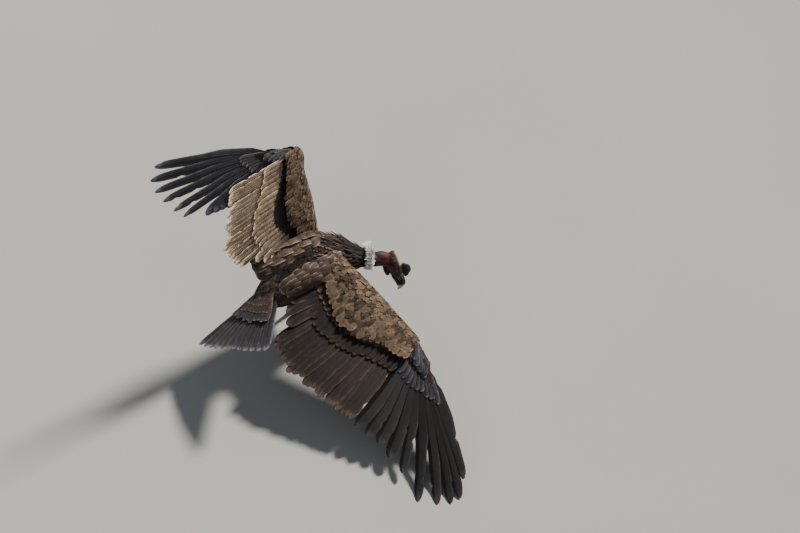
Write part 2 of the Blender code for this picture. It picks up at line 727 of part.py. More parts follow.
def build():
    """Builds every node of the bird."""
    for old in list(bpy.data.objects):
        bpy.data.objects.remove(old)
    bird = bpy.data.collections.new("andean_condor")
    bpy.context.scene.collection.children.link(bird)

    right = Wing(-1, (0.0957, -0.951, -0.2906), (-0.957, -0.0084, -0.288), 0.554,
                 RIGHT_FAN, RIGHT_REACH, (0.50, 0.445), (81, 101), 0.0, 0.012, 0.004)
    left = Wing(1, (0.006, 0.238, 0.971), (-0.99, -0.08, 0.02), 0.5375,
                LEFT_FAN, LEFT_REACH, (0.405, 0.365), (86, 98), 0.05, 0.030, 0.014)
    tail = Tail()
    head = Head()

    torso = torso_body("torso")
    back = scapulars(-1, 62) + scapulars(1, 34)
    trunk = [swollen(piece) for piece in [torso] + back]
    apply_boolean(torso, back, "UNION")
    for wing, tag in ((right, "right"), (left, "left")):
        arm = apply_boolean(wing.arm(f"wing_arm_{tag}"), wing.arm_feathers(), "UNION")
        clear_of(arm, trunk)
        hand = apply_boolean(wing.hand(f"wing_hand_{tag}"), wing.hand_feathers(), "UNION")
        clear_of(hand, [swollen(arm)])
        finish(arm, "wing_coverts", bird)
        finish(hand, "flight_feathers", bird)

    fan = apply_boolean(tail.stump("tail"), tail.feathers(), "UNION")
    finish(clear_of(fan, trunk), "flight_feathers", bird)

    neck = neck_length("neck", 0.0, COLLAR_START)
    ruffle = neck_vanes("hackle_a", 0.47, 10, 0.0, 0.095, 0.031, 0.014, seed=8)
    ruffle += neck_vanes("hackle_b", 0.34, 9, 0.5, 0.105, 0.038, 0.018, seed=9)
    clear_of(apply_boolean(neck, ruffle, "UNION"), trunk)
    collar = neck_length("collar", COLLAR_START + 0.004, COLLAR_END, 0.006, 4)
    apply_boolean(collar, neck_vanes("lobe", 0.655, 11, 0.0, 0.040, 0.026, 0.012, seed=5), "UNION")
    clear_of(collar, [swollen(neck)])
    finish(neck, "plumage", bird)

    skull = head.skull()
    finish(clear_of(collar, [swollen(skull)]), "collar_down", bird)
    upper = head.bill_upper()
    comb = clear_of(head.comb(), [swollen(skull)])
    finish(clear_of(comb, [swollen(upper)]), "comb", bird)
    finish(skull, "head_skin", bird)
    finish(upper, "bill", bird)
    finish(head.bill_lower(), "bill", bird)
    for side in (-1, 1):
        finish(head.eye(side), "eye", bird)
        shank, tarsus, toes = leg_pieces(side)
        clear_of(shank, trunk)
        clear_of(apply_boolean(tarsus, toes, "UNION"), [swollen(shank)])
        finish(shank, "plumage", bird)
        finish(tarsus, "leg_scales", bird)
    finish(torso, "plumage", bird)


build()
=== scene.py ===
"""Looks of a life-size immature male condor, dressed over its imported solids.

Places are worked out in the bird's own frame, a point on the floor below its chest
with +X the way the body faces and -Y its right, and each finished mesh is moved so
that the middle of the left foot is the origin. All sizes are in metres.
"""

import logging
import math
import random
from dataclasses import dataclass, field
from enum import Enum
from functools import cache
from typing import Any, Callable, Optional, Sequence, Union

import bmesh
import bpy
import numpy as np
from mathutils import Matrix, Vector, noise


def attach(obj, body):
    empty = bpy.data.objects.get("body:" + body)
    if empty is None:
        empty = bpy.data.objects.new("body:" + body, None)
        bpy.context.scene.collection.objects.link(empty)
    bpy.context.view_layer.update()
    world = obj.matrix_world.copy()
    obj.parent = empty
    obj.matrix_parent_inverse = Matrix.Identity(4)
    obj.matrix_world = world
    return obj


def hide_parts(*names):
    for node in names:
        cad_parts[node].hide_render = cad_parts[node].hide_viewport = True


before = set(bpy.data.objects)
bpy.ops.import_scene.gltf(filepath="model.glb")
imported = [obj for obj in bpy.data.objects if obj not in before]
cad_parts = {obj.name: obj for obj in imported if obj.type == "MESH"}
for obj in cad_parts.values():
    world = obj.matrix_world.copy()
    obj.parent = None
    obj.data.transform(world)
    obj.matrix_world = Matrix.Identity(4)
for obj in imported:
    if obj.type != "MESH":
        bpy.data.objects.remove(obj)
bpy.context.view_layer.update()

LOG = logging.getLogger("condor")
FOOT = Vector((-0.042, 0.099, 0.0))
SHARP_EDGE = math.radians(70)
SMOOTH_SHARE = 0.5
BARB_TURN = 6.2832
BUMP_STRENGTH = 0.8
BODY_VOXEL = 0.006
Colour = tuple[float, float, float]
Path = Sequence[Vector]
Value = Union[float, Vector, np.ndarray]
Socket = bpy.types.NodeSocket
Entry = Union[Socket, float, Colour]


def srgb(red: float, green: float, blue: float) -> Colour:
    """Linear colour from screen values of 0 to 255."""
    return tuple(((c / 255 + 0.055) / 1.055) ** 2.4 if c > 10 else c / 3295 for c in (red, green, blue))


def mix(a: Value, b: Value, t: float) -> Value:
    """Straight blend of two numbers or vectors."""
    return a + (b - a) * t


def blend(a: Colour, b: Colour, t: float) -> Colour:
    """Straight blend of two colours."""
    return tuple(mix(x, y, t) for x, y in zip(a, b))


def ease(t: float) -> float:
    """Smooth step from 0 to 1."""
    t = min(max(t, 0.0), 1.0)
    return t * t * (3 - 2 * t)


def along(values: Sequence, t: float) -> Union[Value, Colour]:
    """Value at t, 0 to 1, on evenly spread numbers, vectors or colours.

    Args:
        values: What to read.
        t: The place.

    Returns:
        The blend of the two nearest.
    """
    place = min(max(t, 0.0), 1.0) * (len(values) - 1)
    i = min(int(place), len(values) - 2)
    if isinstance(values[i], tuple):
        return blend(values[i], values[i + 1], place - i)
    return mix(values[i], values[i + 1], place - i)


def smooth_path(points: Sequence[Value], t: float) -> Value:
    """Point at t, 0 to 1, on a Catmull-Rom curve through the points.

    Args:
        points: Numbers or vectors.
        t: The place.

    Returns:
        The point.
    """
    place = min(max(t, 0.0), 1.0) * (len(points) - 1)
    i = min(int(place), len(points) - 2)
    u = place - i
    p = [points[min(max(i + k, 0), len(points) - 1)] for k in (-1, 0, 1, 2)]
    a = 2 * p[0] - 5 * p[1] + 4 * p[2] - p[3]
    b = 3 * p[1] - 3 * p[2] + p[3] - p[0]
    return 0.5 * (2 * p[1] + (p[2] - p[0]) * u + a * u * u + b * u * u * u)


def spot(*place: float) -> Any:
    """Default of a dataclass field that holds a vector."""
    return field(default_factory=lambda: Vector(place))


def unit(*way: float) -> Any:
    """Default of a dataclass field that holds a vector of length one."""
    return field(default_factory=lambda: Vector(way).normalized())


def finer(stations: Sequence[Sequence[float]], count: int) -> list[Vector]:
    """Stations of any width respaced smoothly to a larger count."""
    rows = [np.array(s, float) for s in stations]
    return [smooth_path(rows, i / (count - 1)) for i in range(count)]


class NodeDesk:
    """Shorthand for building one material's node tree."""

    def __init__(self, name: str) -> None:
        """Starts a material.

        Args:
            name: Its name.
        """
        self.material = bpy.data.materials.new(name)
        self.material.use_nodes = True
        self.tree = self.material.node_tree
        self.shader = self.tree.nodes["Principled BSDF"]

    def feed(self, entry: Socket, value: Entry) -> None:
        """Links a socket to an input, or sets a plain value there; a colour gets its alpha.

        Args:
            entry: The input.
            value: What goes in.
        """
        if isinstance(value, Socket):
            self.tree.links.new(value, entry)
        else:
            entry.default_value = (*value, 1.0) if isinstance(value, tuple) else value

    def node(self, kind: str, links: Optional[dict] = None, **settings: Any) -> bpy.types.Node:
        """Adds a node.

        Args:
            kind: The node's type name.
            links: Input name or index to a socket or a plain value.
            settings: Properties of the node.

        Returns:
            The node.
        """
        made = self.tree.nodes.new(kind)
        for key, value in settings.items():
            setattr(made, key, value)
        for key, value in (links or {}).items():
            self.feed(made.inputs[key], value)
        return made

    def reading(self, name: str, output: str = "Color") -> Socket:
        """Output of an Attribute node."""
        return self.node("ShaderNodeAttribute", attribute_name=name).outputs[output]

    def math(self, operation: str, a: Entry, b: Entry = 0.0) -> Socket:
        """Result socket of a Math node."""
        return self.node("ShaderNodeMath", {0: a, 1: b}, operation=operation).outputs[0]

    def times(self, product: Entry, *factors: Entry) -> Socket:
        """Result socket of all the numbers multiplied.

        Args:
            product: The first.
            factors: The rest.

        Returns:
            The socket.
        """
        for factor in factors:
            product = self.math("MULTIPLY", product, factor)
        return product

    def ramp(self, value: Entry, low: Entry, high: Entry, start: Entry = 0.0, end: Entry = 1.0) -> Socket:
        """Result socket of a smooth Map Range."""
        links = {"Value": value, "From Min": low, "From Max": high, "To Min": start, "To Max": end}
        return self.node("ShaderNodeMapRange", links, interpolation_type="SMOOTHSTEP").outputs[0]

    def mixed(self, share: Entry, a: Entry, b: Entry, mode: str = "MIX") -> Socket:
        """Result socket of a colour Mix."""
        made = self.node("ShaderNodeMix", {0: share, 6: a, 7: b}, data_type="RGBA", blend_type=mode)
        return made.outputs[2]

    def toned(self, level: Entry) -> Socket:
        """The tone attribute's colour, made lighter or darker by level."""
        grey = self.node("ShaderNodeCombineColor", {0: level, 1: level, 2: level}).outputs[0]
        return self.mixed(1.0, self.reading("tone"), grey, "MULTIPLY")

    def grain(self, scale: float, detail: float) -> Socket:
        """Factor socket of a Noise on object coordinates.

        Args:
            scale: Its scale.
            detail: Its detail.

        Returns:
            The socket.
        """
        place = self.node("ShaderNodeTexCoord").outputs["Object"]
        made = self.node("ShaderNodeTexNoise", {"Vector": place, "Scale": scale, "Detail": detail})
        return made.outputs[0]

    def close(self, colour: Socket, height: Socket, depth: float, roughness: Entry,
              **constants: float) -> bpy.types.Material:
        """Links colour, bump and roughness to the shader, and sets its constants.

        Args:
            colour: Base colour.
            height: Height of the bump, 0 to 1.
            depth: Its depth in metres.
            roughness: How dull it is.
            constants: Other inputs, with _ for a space.

        Returns:
            The material.
        """
        bump = self.node("ShaderNodeBump", {"Height": height, "Distance": depth, "Strength": BUMP_STRENGTH})
        fed = {"Base Color": colour, "Normal": bump.outputs[0], "Roughness": roughness}
        fed.update((key.replace("_", " "), value) for key, value in constants.items())
        for key, value in fed.items():
            self.feed(self.shader.inputs[key], value)
        return self.material


@dataclass(frozen=True)
class FeatherFinish:
    """Barbs, shaft and worn pale edge over each feather's own tint, with painted shade towards the root."""

    name: str
    edge: float
    edge_width: float
    core: float
    shaft: float
    shaft_width: float
    barb: float
    barbs_per_metre: float
    mottle: float
    roughness: float
    # depth sets each feather's brightness, which falls to a quarter at the root as painted shade of the
    # feather above
    depth: float

    def build(self) -> bpy.types.Material:
        """The material, which reads the Vane map and the tint and span attributes.

        Returns:
            The material.
        """
        desk = NodeDesk(self.name)
        vane = desk.node("ShaderNodeUVMap", uv_map="Vane").outputs[0]
        parts = desk.node("ShaderNodeSeparateXYZ", {0: vane})
        across = desk.math("ABSOLUTE", desk.math("SUBTRACT", parts.outputs[0], 0.5))
        aside = desk.times(across, 2.0)
        place = parts.outputs[1]
        coarse, fine = desk.grain(38.0, 5.0), desk.grain(240.0, 3.0)
        rim = desk.math("MAXIMUM", aside, desk.ramp(place, 0.72, 1.0))
        worn = desk.math("ADD", rim, desk.times(desk.math("SUBTRACT", coarse, 0.5), 0.35))
        edge = desk.ramp(worn, 1.0 - self.edge_width, 1.0, 1.0, self.edge)
        core = desk.ramp(rim, 0.05, 0.8, 1.0 - self.core, 1.0)
        run = desk.times(place, desk.reading("span", "Fac"), self.barbs_per_metre)
        lean = desk.times(aside, 4.0)
        wave = desk.math("SINE", desk.times(desk.math("SUBTRACT", run, lean), BARB_TURN))
        broken = desk.times(desk.math("ADD", wave, 1.0), 0.5, fine)
        shade = desk.math("SUBTRACT", 1.0 + self.barb * 0.3, desk.times(broken, self.barb))
        patch = desk.ramp(coarse, 0.3, 0.7, 1.0 - self.mottle, 1.0 + self.mottle * 0.6)
        # painted shade: the feather darkens towards its root, where the feather over it would shade it
        root = desk.ramp(place, 0.0, 0.45, 0.25 * self.depth, self.depth)
        taper = desk.times(desk.math("SUBTRACT", 1.15, place), self.shaft_width)
        shaft = desk.ramp(across, 0.0, taper, self.shaft, 1.0)
        links = {0: desk.reading("tint"), "Scale": desk.times(shade, patch, root, core, edge, shaft)}
        colour = desk.node("ShaderNodeVectorMath", links, operation="SCALE").outputs[0]
        rough = desk.ramp(fine, 0.2, 0.8, self.roughness - 0.08, self.roughness + 0.1)
        return desk.close(colour, broken, 0.0006, rough, Sheen_Weight=0.05, Specular_IOR_Level=0.18)


class Finish(Enum):
    """The feather finishes by the part of the plumage that wears them."""

    FLIGHT = FeatherFinish("flight_vanes", edge=4.0, edge_width=0.3, core=0.6, shaft=7.0, shaft_width=0.055,
                           barb=0.24, barbs_per_metre=700.0, mottle=0.25, roughness=0.5, depth=0.33)
    COVERT = FeatherFinish("long_coverts", edge=3.2, edge_width=0.2, core=0.45, shaft=1.8, shaft_width=0.02,
                           barb=0.18, barbs_per_metre=900.0, mottle=0.3, roughness=0.6, depth=0.33)
    PLUME = FeatherFinish("small_plumes", edge=1.8, edge_width=0.22, core=0.25, shaft=0.7, shaft_width=0.022,
                          barb=0.16, barbs_per_metre=1100.0, mottle=0.28, roughness=0.68, depth=0.33)
    MANTLE = FeatherFinish("mantle_plumes", edge=4.6, edge_width=0.34, core=0.5, shaft=0.7, shaft_width=0.03,
                           barb=0.2, barbs_per_metre=1000.0, mottle=0.4, roughness=0.62, depth=0.36)
    DOWN = FeatherFinish("white_down", edge=1.1, edge_width=0.3, core=0.08, shaft=1.0, shaft_width=0.02,
                         barb=0.12, barbs_per_metre=1400.0, mottle=0.1, roughness=0.85, depth=1.0)

    @cache
    def material(self) -> bpy.types.Material:
        """This finish's material, built once."""
        return self.value.build()


@cache
def bare_skin() -> bpy.types.Material:
    """Leathery bare skin over the painted regions.

    Returns:
        The material.
    """
    desk = NodeDesk("bare_skin")
    pores, patches = desk.grain(900.0, 3.0), desk.grain(120.0, 5.0)
    height = desk.math("ADD", pores, desk.times(patches, 2.0))
    rough = desk.ramp(pores, 0.2, 0.8, 0.52, 0.68)
    colour = desk.toned(desk.ramp(patches, 0.25, 0.75, 0.65, 1.25))
    return desk.close(colour, height, 0.0004, rough, Specular_IOR_Level=0.3)


@cache
def bill_horn() -> bpy.types.Material:
    """Grey cere that turns to black horn and an ivory tip, by the tone attribute.

    Returns:
        The material.
    """
    desk = NodeDesk("bill_horn")
    streak, speck = desk.grain(60.0, 6.0), desk.grain(700.0, 2.0)
    colour = desk.toned(desk.ramp(streak, 0.3, 0.7, 0.8, 1.2))
    return desk.close(colour, speck, 0.0002, desk.ramp(streak, 0.3, 0.7, 0.24, 0.42))


@cache
def wet_eye() -> bpy.types.Material:
    """Wet eye with fine rays in the iris.

    Returns:
        The material.
    """
    desk = NodeDesk("wet_eye")
    rays = desk.grain(1500.0, 2.0)
    colour = desk.toned(desk.ramp(rays, 0.2, 0.8, 0.7, 1.3))
    return desk.close(colour, rays, 0.00002, 0.06, Coat_Weight=1.0)


@cache
def scaled_skin() -> bpy.types.Material:
    """Dull grey scales with dusty hollows.

    Returns:
        The material.
    """
    desk = NodeDesk("scaled_skin")
    patch, pore = desk.grain(90.0, 5.0), desk.grain(900.0, 2.0)
    return desk.close(desk.toned(desk.ramp(patch, 0.3, 0.7, 0.75, 1.2)), pore, 0.0003, 0.55)


@cache
def claw_horn() -> bpy.types.Material:
    """Dark streaked horn.

    Returns:
        The material.
    """
    desk = NodeDesk("claw_horn")
    streak = desk.grain(160.0, 5.0)
    colour = desk.mixed(desk.ramp(streak, 0.3, 0.7), srgb(26, 23, 22), srgb(66, 58, 52))
    return desk.close(colour, streak, 0.0002, desk.ramp(streak, 0.3, 0.7, 0.25, 0.45))


@cache
def body_down() -> bpy.types.Material:
    """Dark down of the body's skin, seen only between the feathers.

    Returns:
        The material.
    """
    desk = NodeDesk("body_down")
    fluff, patch = desk.grain(320.0, 4.0), desk.grain(24.0, 4.0)
    colour = desk.mixed(desk.ramp(patch, 0.3, 0.7), srgb(34, 27, 25), srgb(58, 46, 40))
    return desk.close(colour, fluff, 0.002, 0.9, Sheen_Weight=0.2)


@dataclass(frozen=True)
class VaneForm:
    """Outline and relief of one kind of feather.

    profile lists (place along, share of the full width); tip is where the end starts
    to round, skew moves the shaft towards the leading edge, and splits is the chance
    that the barbs part at a row of the edge.
    """

    rows: int
    columns: tuple[float, ...]
    profile: tuple[tuple[float, float], ...]
    tip: float
    camber: float
    shaft: float = 0.0
    skew: float = 0.0
    splits: float = 0.0

    def places(self) -> np.ndarray:
        """Places of the rows along the feather, closer towards the tip."""
        return 1 - (1 - np.linspace(0, 1, self.rows)) ** 1.35

    def shares(self) -> np.ndarray:
        """Share of the full width at each row.

        Returns:
            One share for each row.
        """
        v = self.places()
        share = np.interp(v, *zip(*self.profile))
        past = np.clip((v - self.tip) / (1 - self.tip), 0, 1)
        return np.maximum(share * np.sqrt(np.maximum(1 - past * past, 0)), 0.05)

    def faces(self) -> tuple[np.ndarray, int]:
        """Quads of the closed blade and its count of vertices; the rim is shared.

        Returns:
            The quads and the count.
        """
        rows, columns = self.rows, len(self.columns)
        high = np.arange(rows * columns).reshape(rows, columns)
        low = high.copy()
        inner = (rows - 2) * (columns - 2)
        low[1:-1, 1:-1] = rows * columns + np.arange(inner).reshape(rows - 2, columns - 2)
        quads = []
        for sheet, turned in ((high, False), (low, True)):
            a, b, c, d = sheet[:-1, :-1], sheet[:-1, 1:], sheet[1:, 1:], sheet[1:, :-1]
            order = (a, d, c, b) if turned else (a, b, c, d)
            quads.append(np.stack(order, -1).reshape(-1, 4))
        return np.concatenate(quads), rows * columns + inner


FULL = (-1.0, -0.55, -0.08, 0.0, 0.08, 0.55, 1.0)
PLAIN = (-1.0, -0.5, 0.0, 0.5, 1.0)


class Form(Enum):
    """The kinds of feather."""

    FLIGHT = VaneForm(24, FULL, ((0.0, 0.12), (0.18, 0.85), (0.58, 1.0), (0.9, 0.9), (1.0, 0.7)),
                      tip=0.88, camber=0.16, shaft=0.0013, skew=0.22, splits=0.1)
    FINGER = VaneForm(26, FULL, ((0.0, 0.14), (0.16, 0.85), (0.44, 1.0), (0.6, 0.72), (0.9, 0.6),
                                 (1.0, 0.45)), tip=0.86, camber=0.18, shaft=0.0015, skew=0.3, splits=0.07)
    COVERT = VaneForm(11, FULL, ((0.0, 0.15), (0.3, 0.92), (0.75, 1.0), (1.0, 0.85)),
                      tip=0.76, camber=0.22, shaft=0.0009, skew=0.05, splits=0.06)
    ROUND = VaneForm(8, PLAIN, ((0.0, 0.25), (0.35, 0.95), (0.7, 1.0), (1.0, 0.9)),
                     tip=0.6, camber=0.2)
    POINTED = VaneForm(7, PLAIN, ((0.0, 0.3), (0.35, 1.0), (0.7, 0.75), (1.0, 0.15)),
                       tip=0.95, camber=0.26)
    TUFT = VaneForm(5, (-1.0, 0.0, 1.0), ((0.0, 0.4), (0.4, 1.0), (0.75, 0.6), (1.0, 0.1)),
                    tip=0.95, camber=0.4)


def write_mesh(name: str, points: np.ndarray, quads: np.ndarray) -> bpy.types.Mesh:
    """A smooth-shaded mesh from arrays of points and faces of four corners.

    Args:
        name: Its name.
        points: One row a vertex.
        quads: One row a face.

    Returns:
        The mesh.
    """
    mesh = bpy.data.meshes.new(name)
    mesh.from_pydata(points.tolist(), [], quads.tolist())
    mesh.shade_smooth()
    return mesh


def corner_map(mesh: bpy.types.Mesh, name: str, values: np.ndarray) -> None:
    """Writes a UV map from one pair of numbers for each corner."""
    made = mesh.uv_layers.get(name) or mesh.uv_layers.new(name=name)
    made.data.foreach_set("uv", values.astype(np.float32).ravel())


def corner_verts(mesh: bpy.types.Mesh) -> np.ndarray:
    """Vertex index of every corner.

    Args:
        mesh: What to read.

    Returns:
        The indices.
    """
    found = np.empty(len(mesh.loops), np.int32)
    mesh.loops.foreach_get("vertex_index", found)
    return found


def point_values(mesh: bpy.types.Mesh, name: str, values: np.ndarray) -> None:
    """Writes a number, a vector or a colour of four for each vertex.

    Args:
        mesh: Where it goes.
        name: Its name.
        values: One row a vertex.
    """
    kind, key = {1: ("FLOAT", "value"), 3: ("FLOAT_VECTOR", "vector"), 4: ("FLOAT_COLOR", "color")}[
        values.size // len(values)]
    mesh.attributes.new(name, kind, "POINT").data.foreach_set(key, values.astype(np.float32).ravel())


def with_alpha(colours: np.ndarray) -> np.ndarray:
    """Colours with an alpha of one."""
    return np.concatenate([colours, np.ones((len(colours), 1))], 1)


def surface(mesh: bpy.types.Mesh) -> list[np.ndarray]:
    """Places and normals of the vertices.

    Args:
        mesh: What to read.

    Returns:
        Both, one row a vertex.
    """
    found = []
    for key in ("co", "normal"):
        rows = np.empty(len(mesh.vertices) * 3, np.float32)
        mesh.vertices.foreach_get(key, rows)
        found.append(rows.reshape(-1, 3))
    return found


def repaint(mesh: bpy.types.Mesh, places: np.ndarray, colours: np.ndarray) -> None:
    """Moves the vertices to places and gives them their tone.

    Args:
        mesh: What to change.
        places: New places.
        colours: New tones.
    """
    mesh.vertices.foreach_set("co", places.astype(np.float32).ravel())
    point_values(mesh, "tone", with_alpha(colours))
    mesh.update()


def poured(work: bmesh.types.BMesh, name: str) -> bpy.types.Mesh:
    """A smooth-shaded mesh from a bmesh, which is freed.

    Args:
        work: The bmesh.
        name: The mesh's name.

    Returns:
        The mesh.
    """
    mesh = bpy.data.meshes.new(name)
    work.to_mesh(mesh)
    work.free()
    mesh.shade_smooth()
    return mesh


def stand(name: str, data: bpy.types.ID) -> bpy.types.Object:
    """A new object in the scene.

    Args:
        name: Its name.
        data: What it shows.

    Returns:
        The object.
    """
    made = bpy.data.objects.new(name, data)
    bpy.context.scene.collection.objects.link(made)
    return made


def applied(holder: bpy.types.Object) -> bpy.types.Mesh:
    """A mesh with its object's modifiers applied; the object goes.

    Args:
        holder: The object.

    Returns:
        The mesh.
    """
    bpy.context.view_layer.update()
    graph = bpy.context.evaluated_depsgraph_get()
    made = bpy.data.meshes.new_from_object(holder.evaluated_get(graph))
    holder.modifiers.clear()
    bpy.data.objects.remove(holder)
    return made


def place_piece(name: str, mesh: bpy.types.Mesh, finish: bpy.types.Material, slot: str,
                *nodes: str) -> None:
    """Moves a finished mesh to the row frame and hands it to the frame.

    Args:
        name: Name of the piece.
        mesh: Its mesh in the bird's own frame.
        finish: Its material.
        slot: The record's material slot; not used.
        nodes: The CAD nodes that it stands for.
    """
    mesh.transform(Matrix.Translation(-FOOT))
    mesh.materials.clear()
    mesh.materials.append(finish)
    piece = stand(name, mesh)
    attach(piece, "root")
    if nodes:
        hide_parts(*nodes)
    mesh.calc_loop_triangles()
    LOG.info("%s: %d triangles", name, len(mesh.loop_triangles))


@dataclass
class VaneSheet:
    """Gathers long feathers, each bent along its own path, into one mesh."""

    name: str
    finish: Finish
    seed: int
    points: list[np.ndarray] = field(default_factory=list)
    quads: list[np.ndarray] = field(default_factory=list)
    vane: list[np.ndarray] = field(default_factory=list)
    tint: list[np.ndarray] = field(default_factory=list)
    span: list[np.ndarray] = field(default_factory=list)
    count: int = 0

    def __post_init__(self) -> None:
        """Seeds the sheet's own chance."""
        self.chance = random.Random(self.seed)

    def add(self, form: Form, path: Path, normal: Vector, width: float, tint: Colour, tilt: float = 0.0,
            settle: Optional[Callable[[float, float], float]] = None) -> None:
        """Adds one feather.

        Args:
            form: The kind of feather.
            path: Points that its shaft follows.
            normal: Its upper side.
            width: Full width.
            tint: Its own colour.
            tilt: Roll about the shaft in degrees.
            settle: Lifts a height given the lowest of its row, to lie on the floor.
        """
        shape = form.value
        places = shape.places()
        line = np.array([smooth_path(path, v) for v in places])
        ahead = np.array([smooth_path(path, v + 0.02) - smooth_path(path, v - 0.02) for v in places])
        way = ahead / np.linalg.norm(ahead, axis=1, keepdims=True)
        side = np.cross(way, np.array(normal))
        side /= np.linalg.norm(side, axis=1, keepdims=True)
        up = np.cross(side, way)
        turn = math.radians(tilt + self.chance.uniform(-2.5, 2.5))
        side, up = (m * math.cos(turn) + np.cross(way, m) * math.sin(turn) for m in (side, up))
        u = np.array(shape.columns)
        half = width / 2 * shape.shares()
        cut = np.ones((len(places), len(u)))
        for row in range(2, len(places) - 2):
            for edge in (0, -1):
                if self.chance.random() < shape.splits:
                    cut[row, edge] = self.chance.uniform(0.62, 0.85)
        aside = (u + shape.skew * (1 - u * u)) * cut * half[:, None]
        ridge = np.where(np.abs(u) < 0.02, shape.shaft, np.where(np.abs(u) < 0.2, shape.shaft * 0.35, 0))
        rise = -shape.camber * half[:, None] * u * u + ridge * (1.1 - places)[:, None]
        top = line[:, None] + side[:, None] * aside[..., None] + up[:, None] * rise[..., None]
        thick = (0.0011 * (1.2 - 0.7 * places))[:, None, None]
        low = top - up[:, None] * thick * (0.5 + (1 - np.abs(u))[None, :, None])
        if settle is not None:
            for sheet in (top, low):
                for row, floor in zip(sheet, np.minimum(top, low)[..., 2].min(1)):
                    row[:, 2] = settle(row[:, 2], floor)
        quads, verts = shape.faces()
        grid = np.stack(np.broadcast_arrays((u[None] + 1) / 2, places[:, None]), -1)
        self.points.append(np.concatenate([top.reshape(-1, 3), low[1:-1, 1:-1].reshape(-1, 3)]))
        self.vane.append(np.concatenate([grid.reshape(-1, 2), grid[1:-1, 1:-1].reshape(-1, 2)]))
        self.quads.append(quads + self.count)
        self.tint.append(np.tile(tint, (verts, 1)))
        length = sum((path[i + 1] - path[i]).length for i in range(len(path) - 1))
        self.span.append(np.full(verts, length))
        self.count += verts

    def build(self, slot: str, *nodes: str) -> None:
        """Joins the feathers to one piece, each with its own cell of the bake map.

        Args:
            slot: The record's material slot.
            nodes: The CAD nodes it stands for.
        """
        mesh = write_mesh(self.name, np.concatenate(self.points), np.concatenate(self.quads))
        corners = corner_verts(mesh)
        vane = np.concatenate(self.vane)
        owner = np.repeat(np.arange(len(self.points)), [len(p) for p in self.points])
        across = math.ceil(math.sqrt(len(self.points) * 5))
        down = math.ceil(len(self.points) / across)
        cell = np.stack([owner % across, owner // across], 1)
        bake = (cell + 0.06 + 0.88 * vane) / np.array([across, down])
        corner_map(mesh, "OFBake", bake[corners])
        corner_map(mesh, "Vane", vane[corners])
        point_values(mesh, "tint", with_alpha(np.concatenate(self.tint)))
        point_values(mesh, "span", np.concatenate(self.span))
        mesh.set_sharp_from_angle(angle=SHARP_EDGE)
        place_piece(self.name, mesh, self.finish.material(), slot, *nodes)


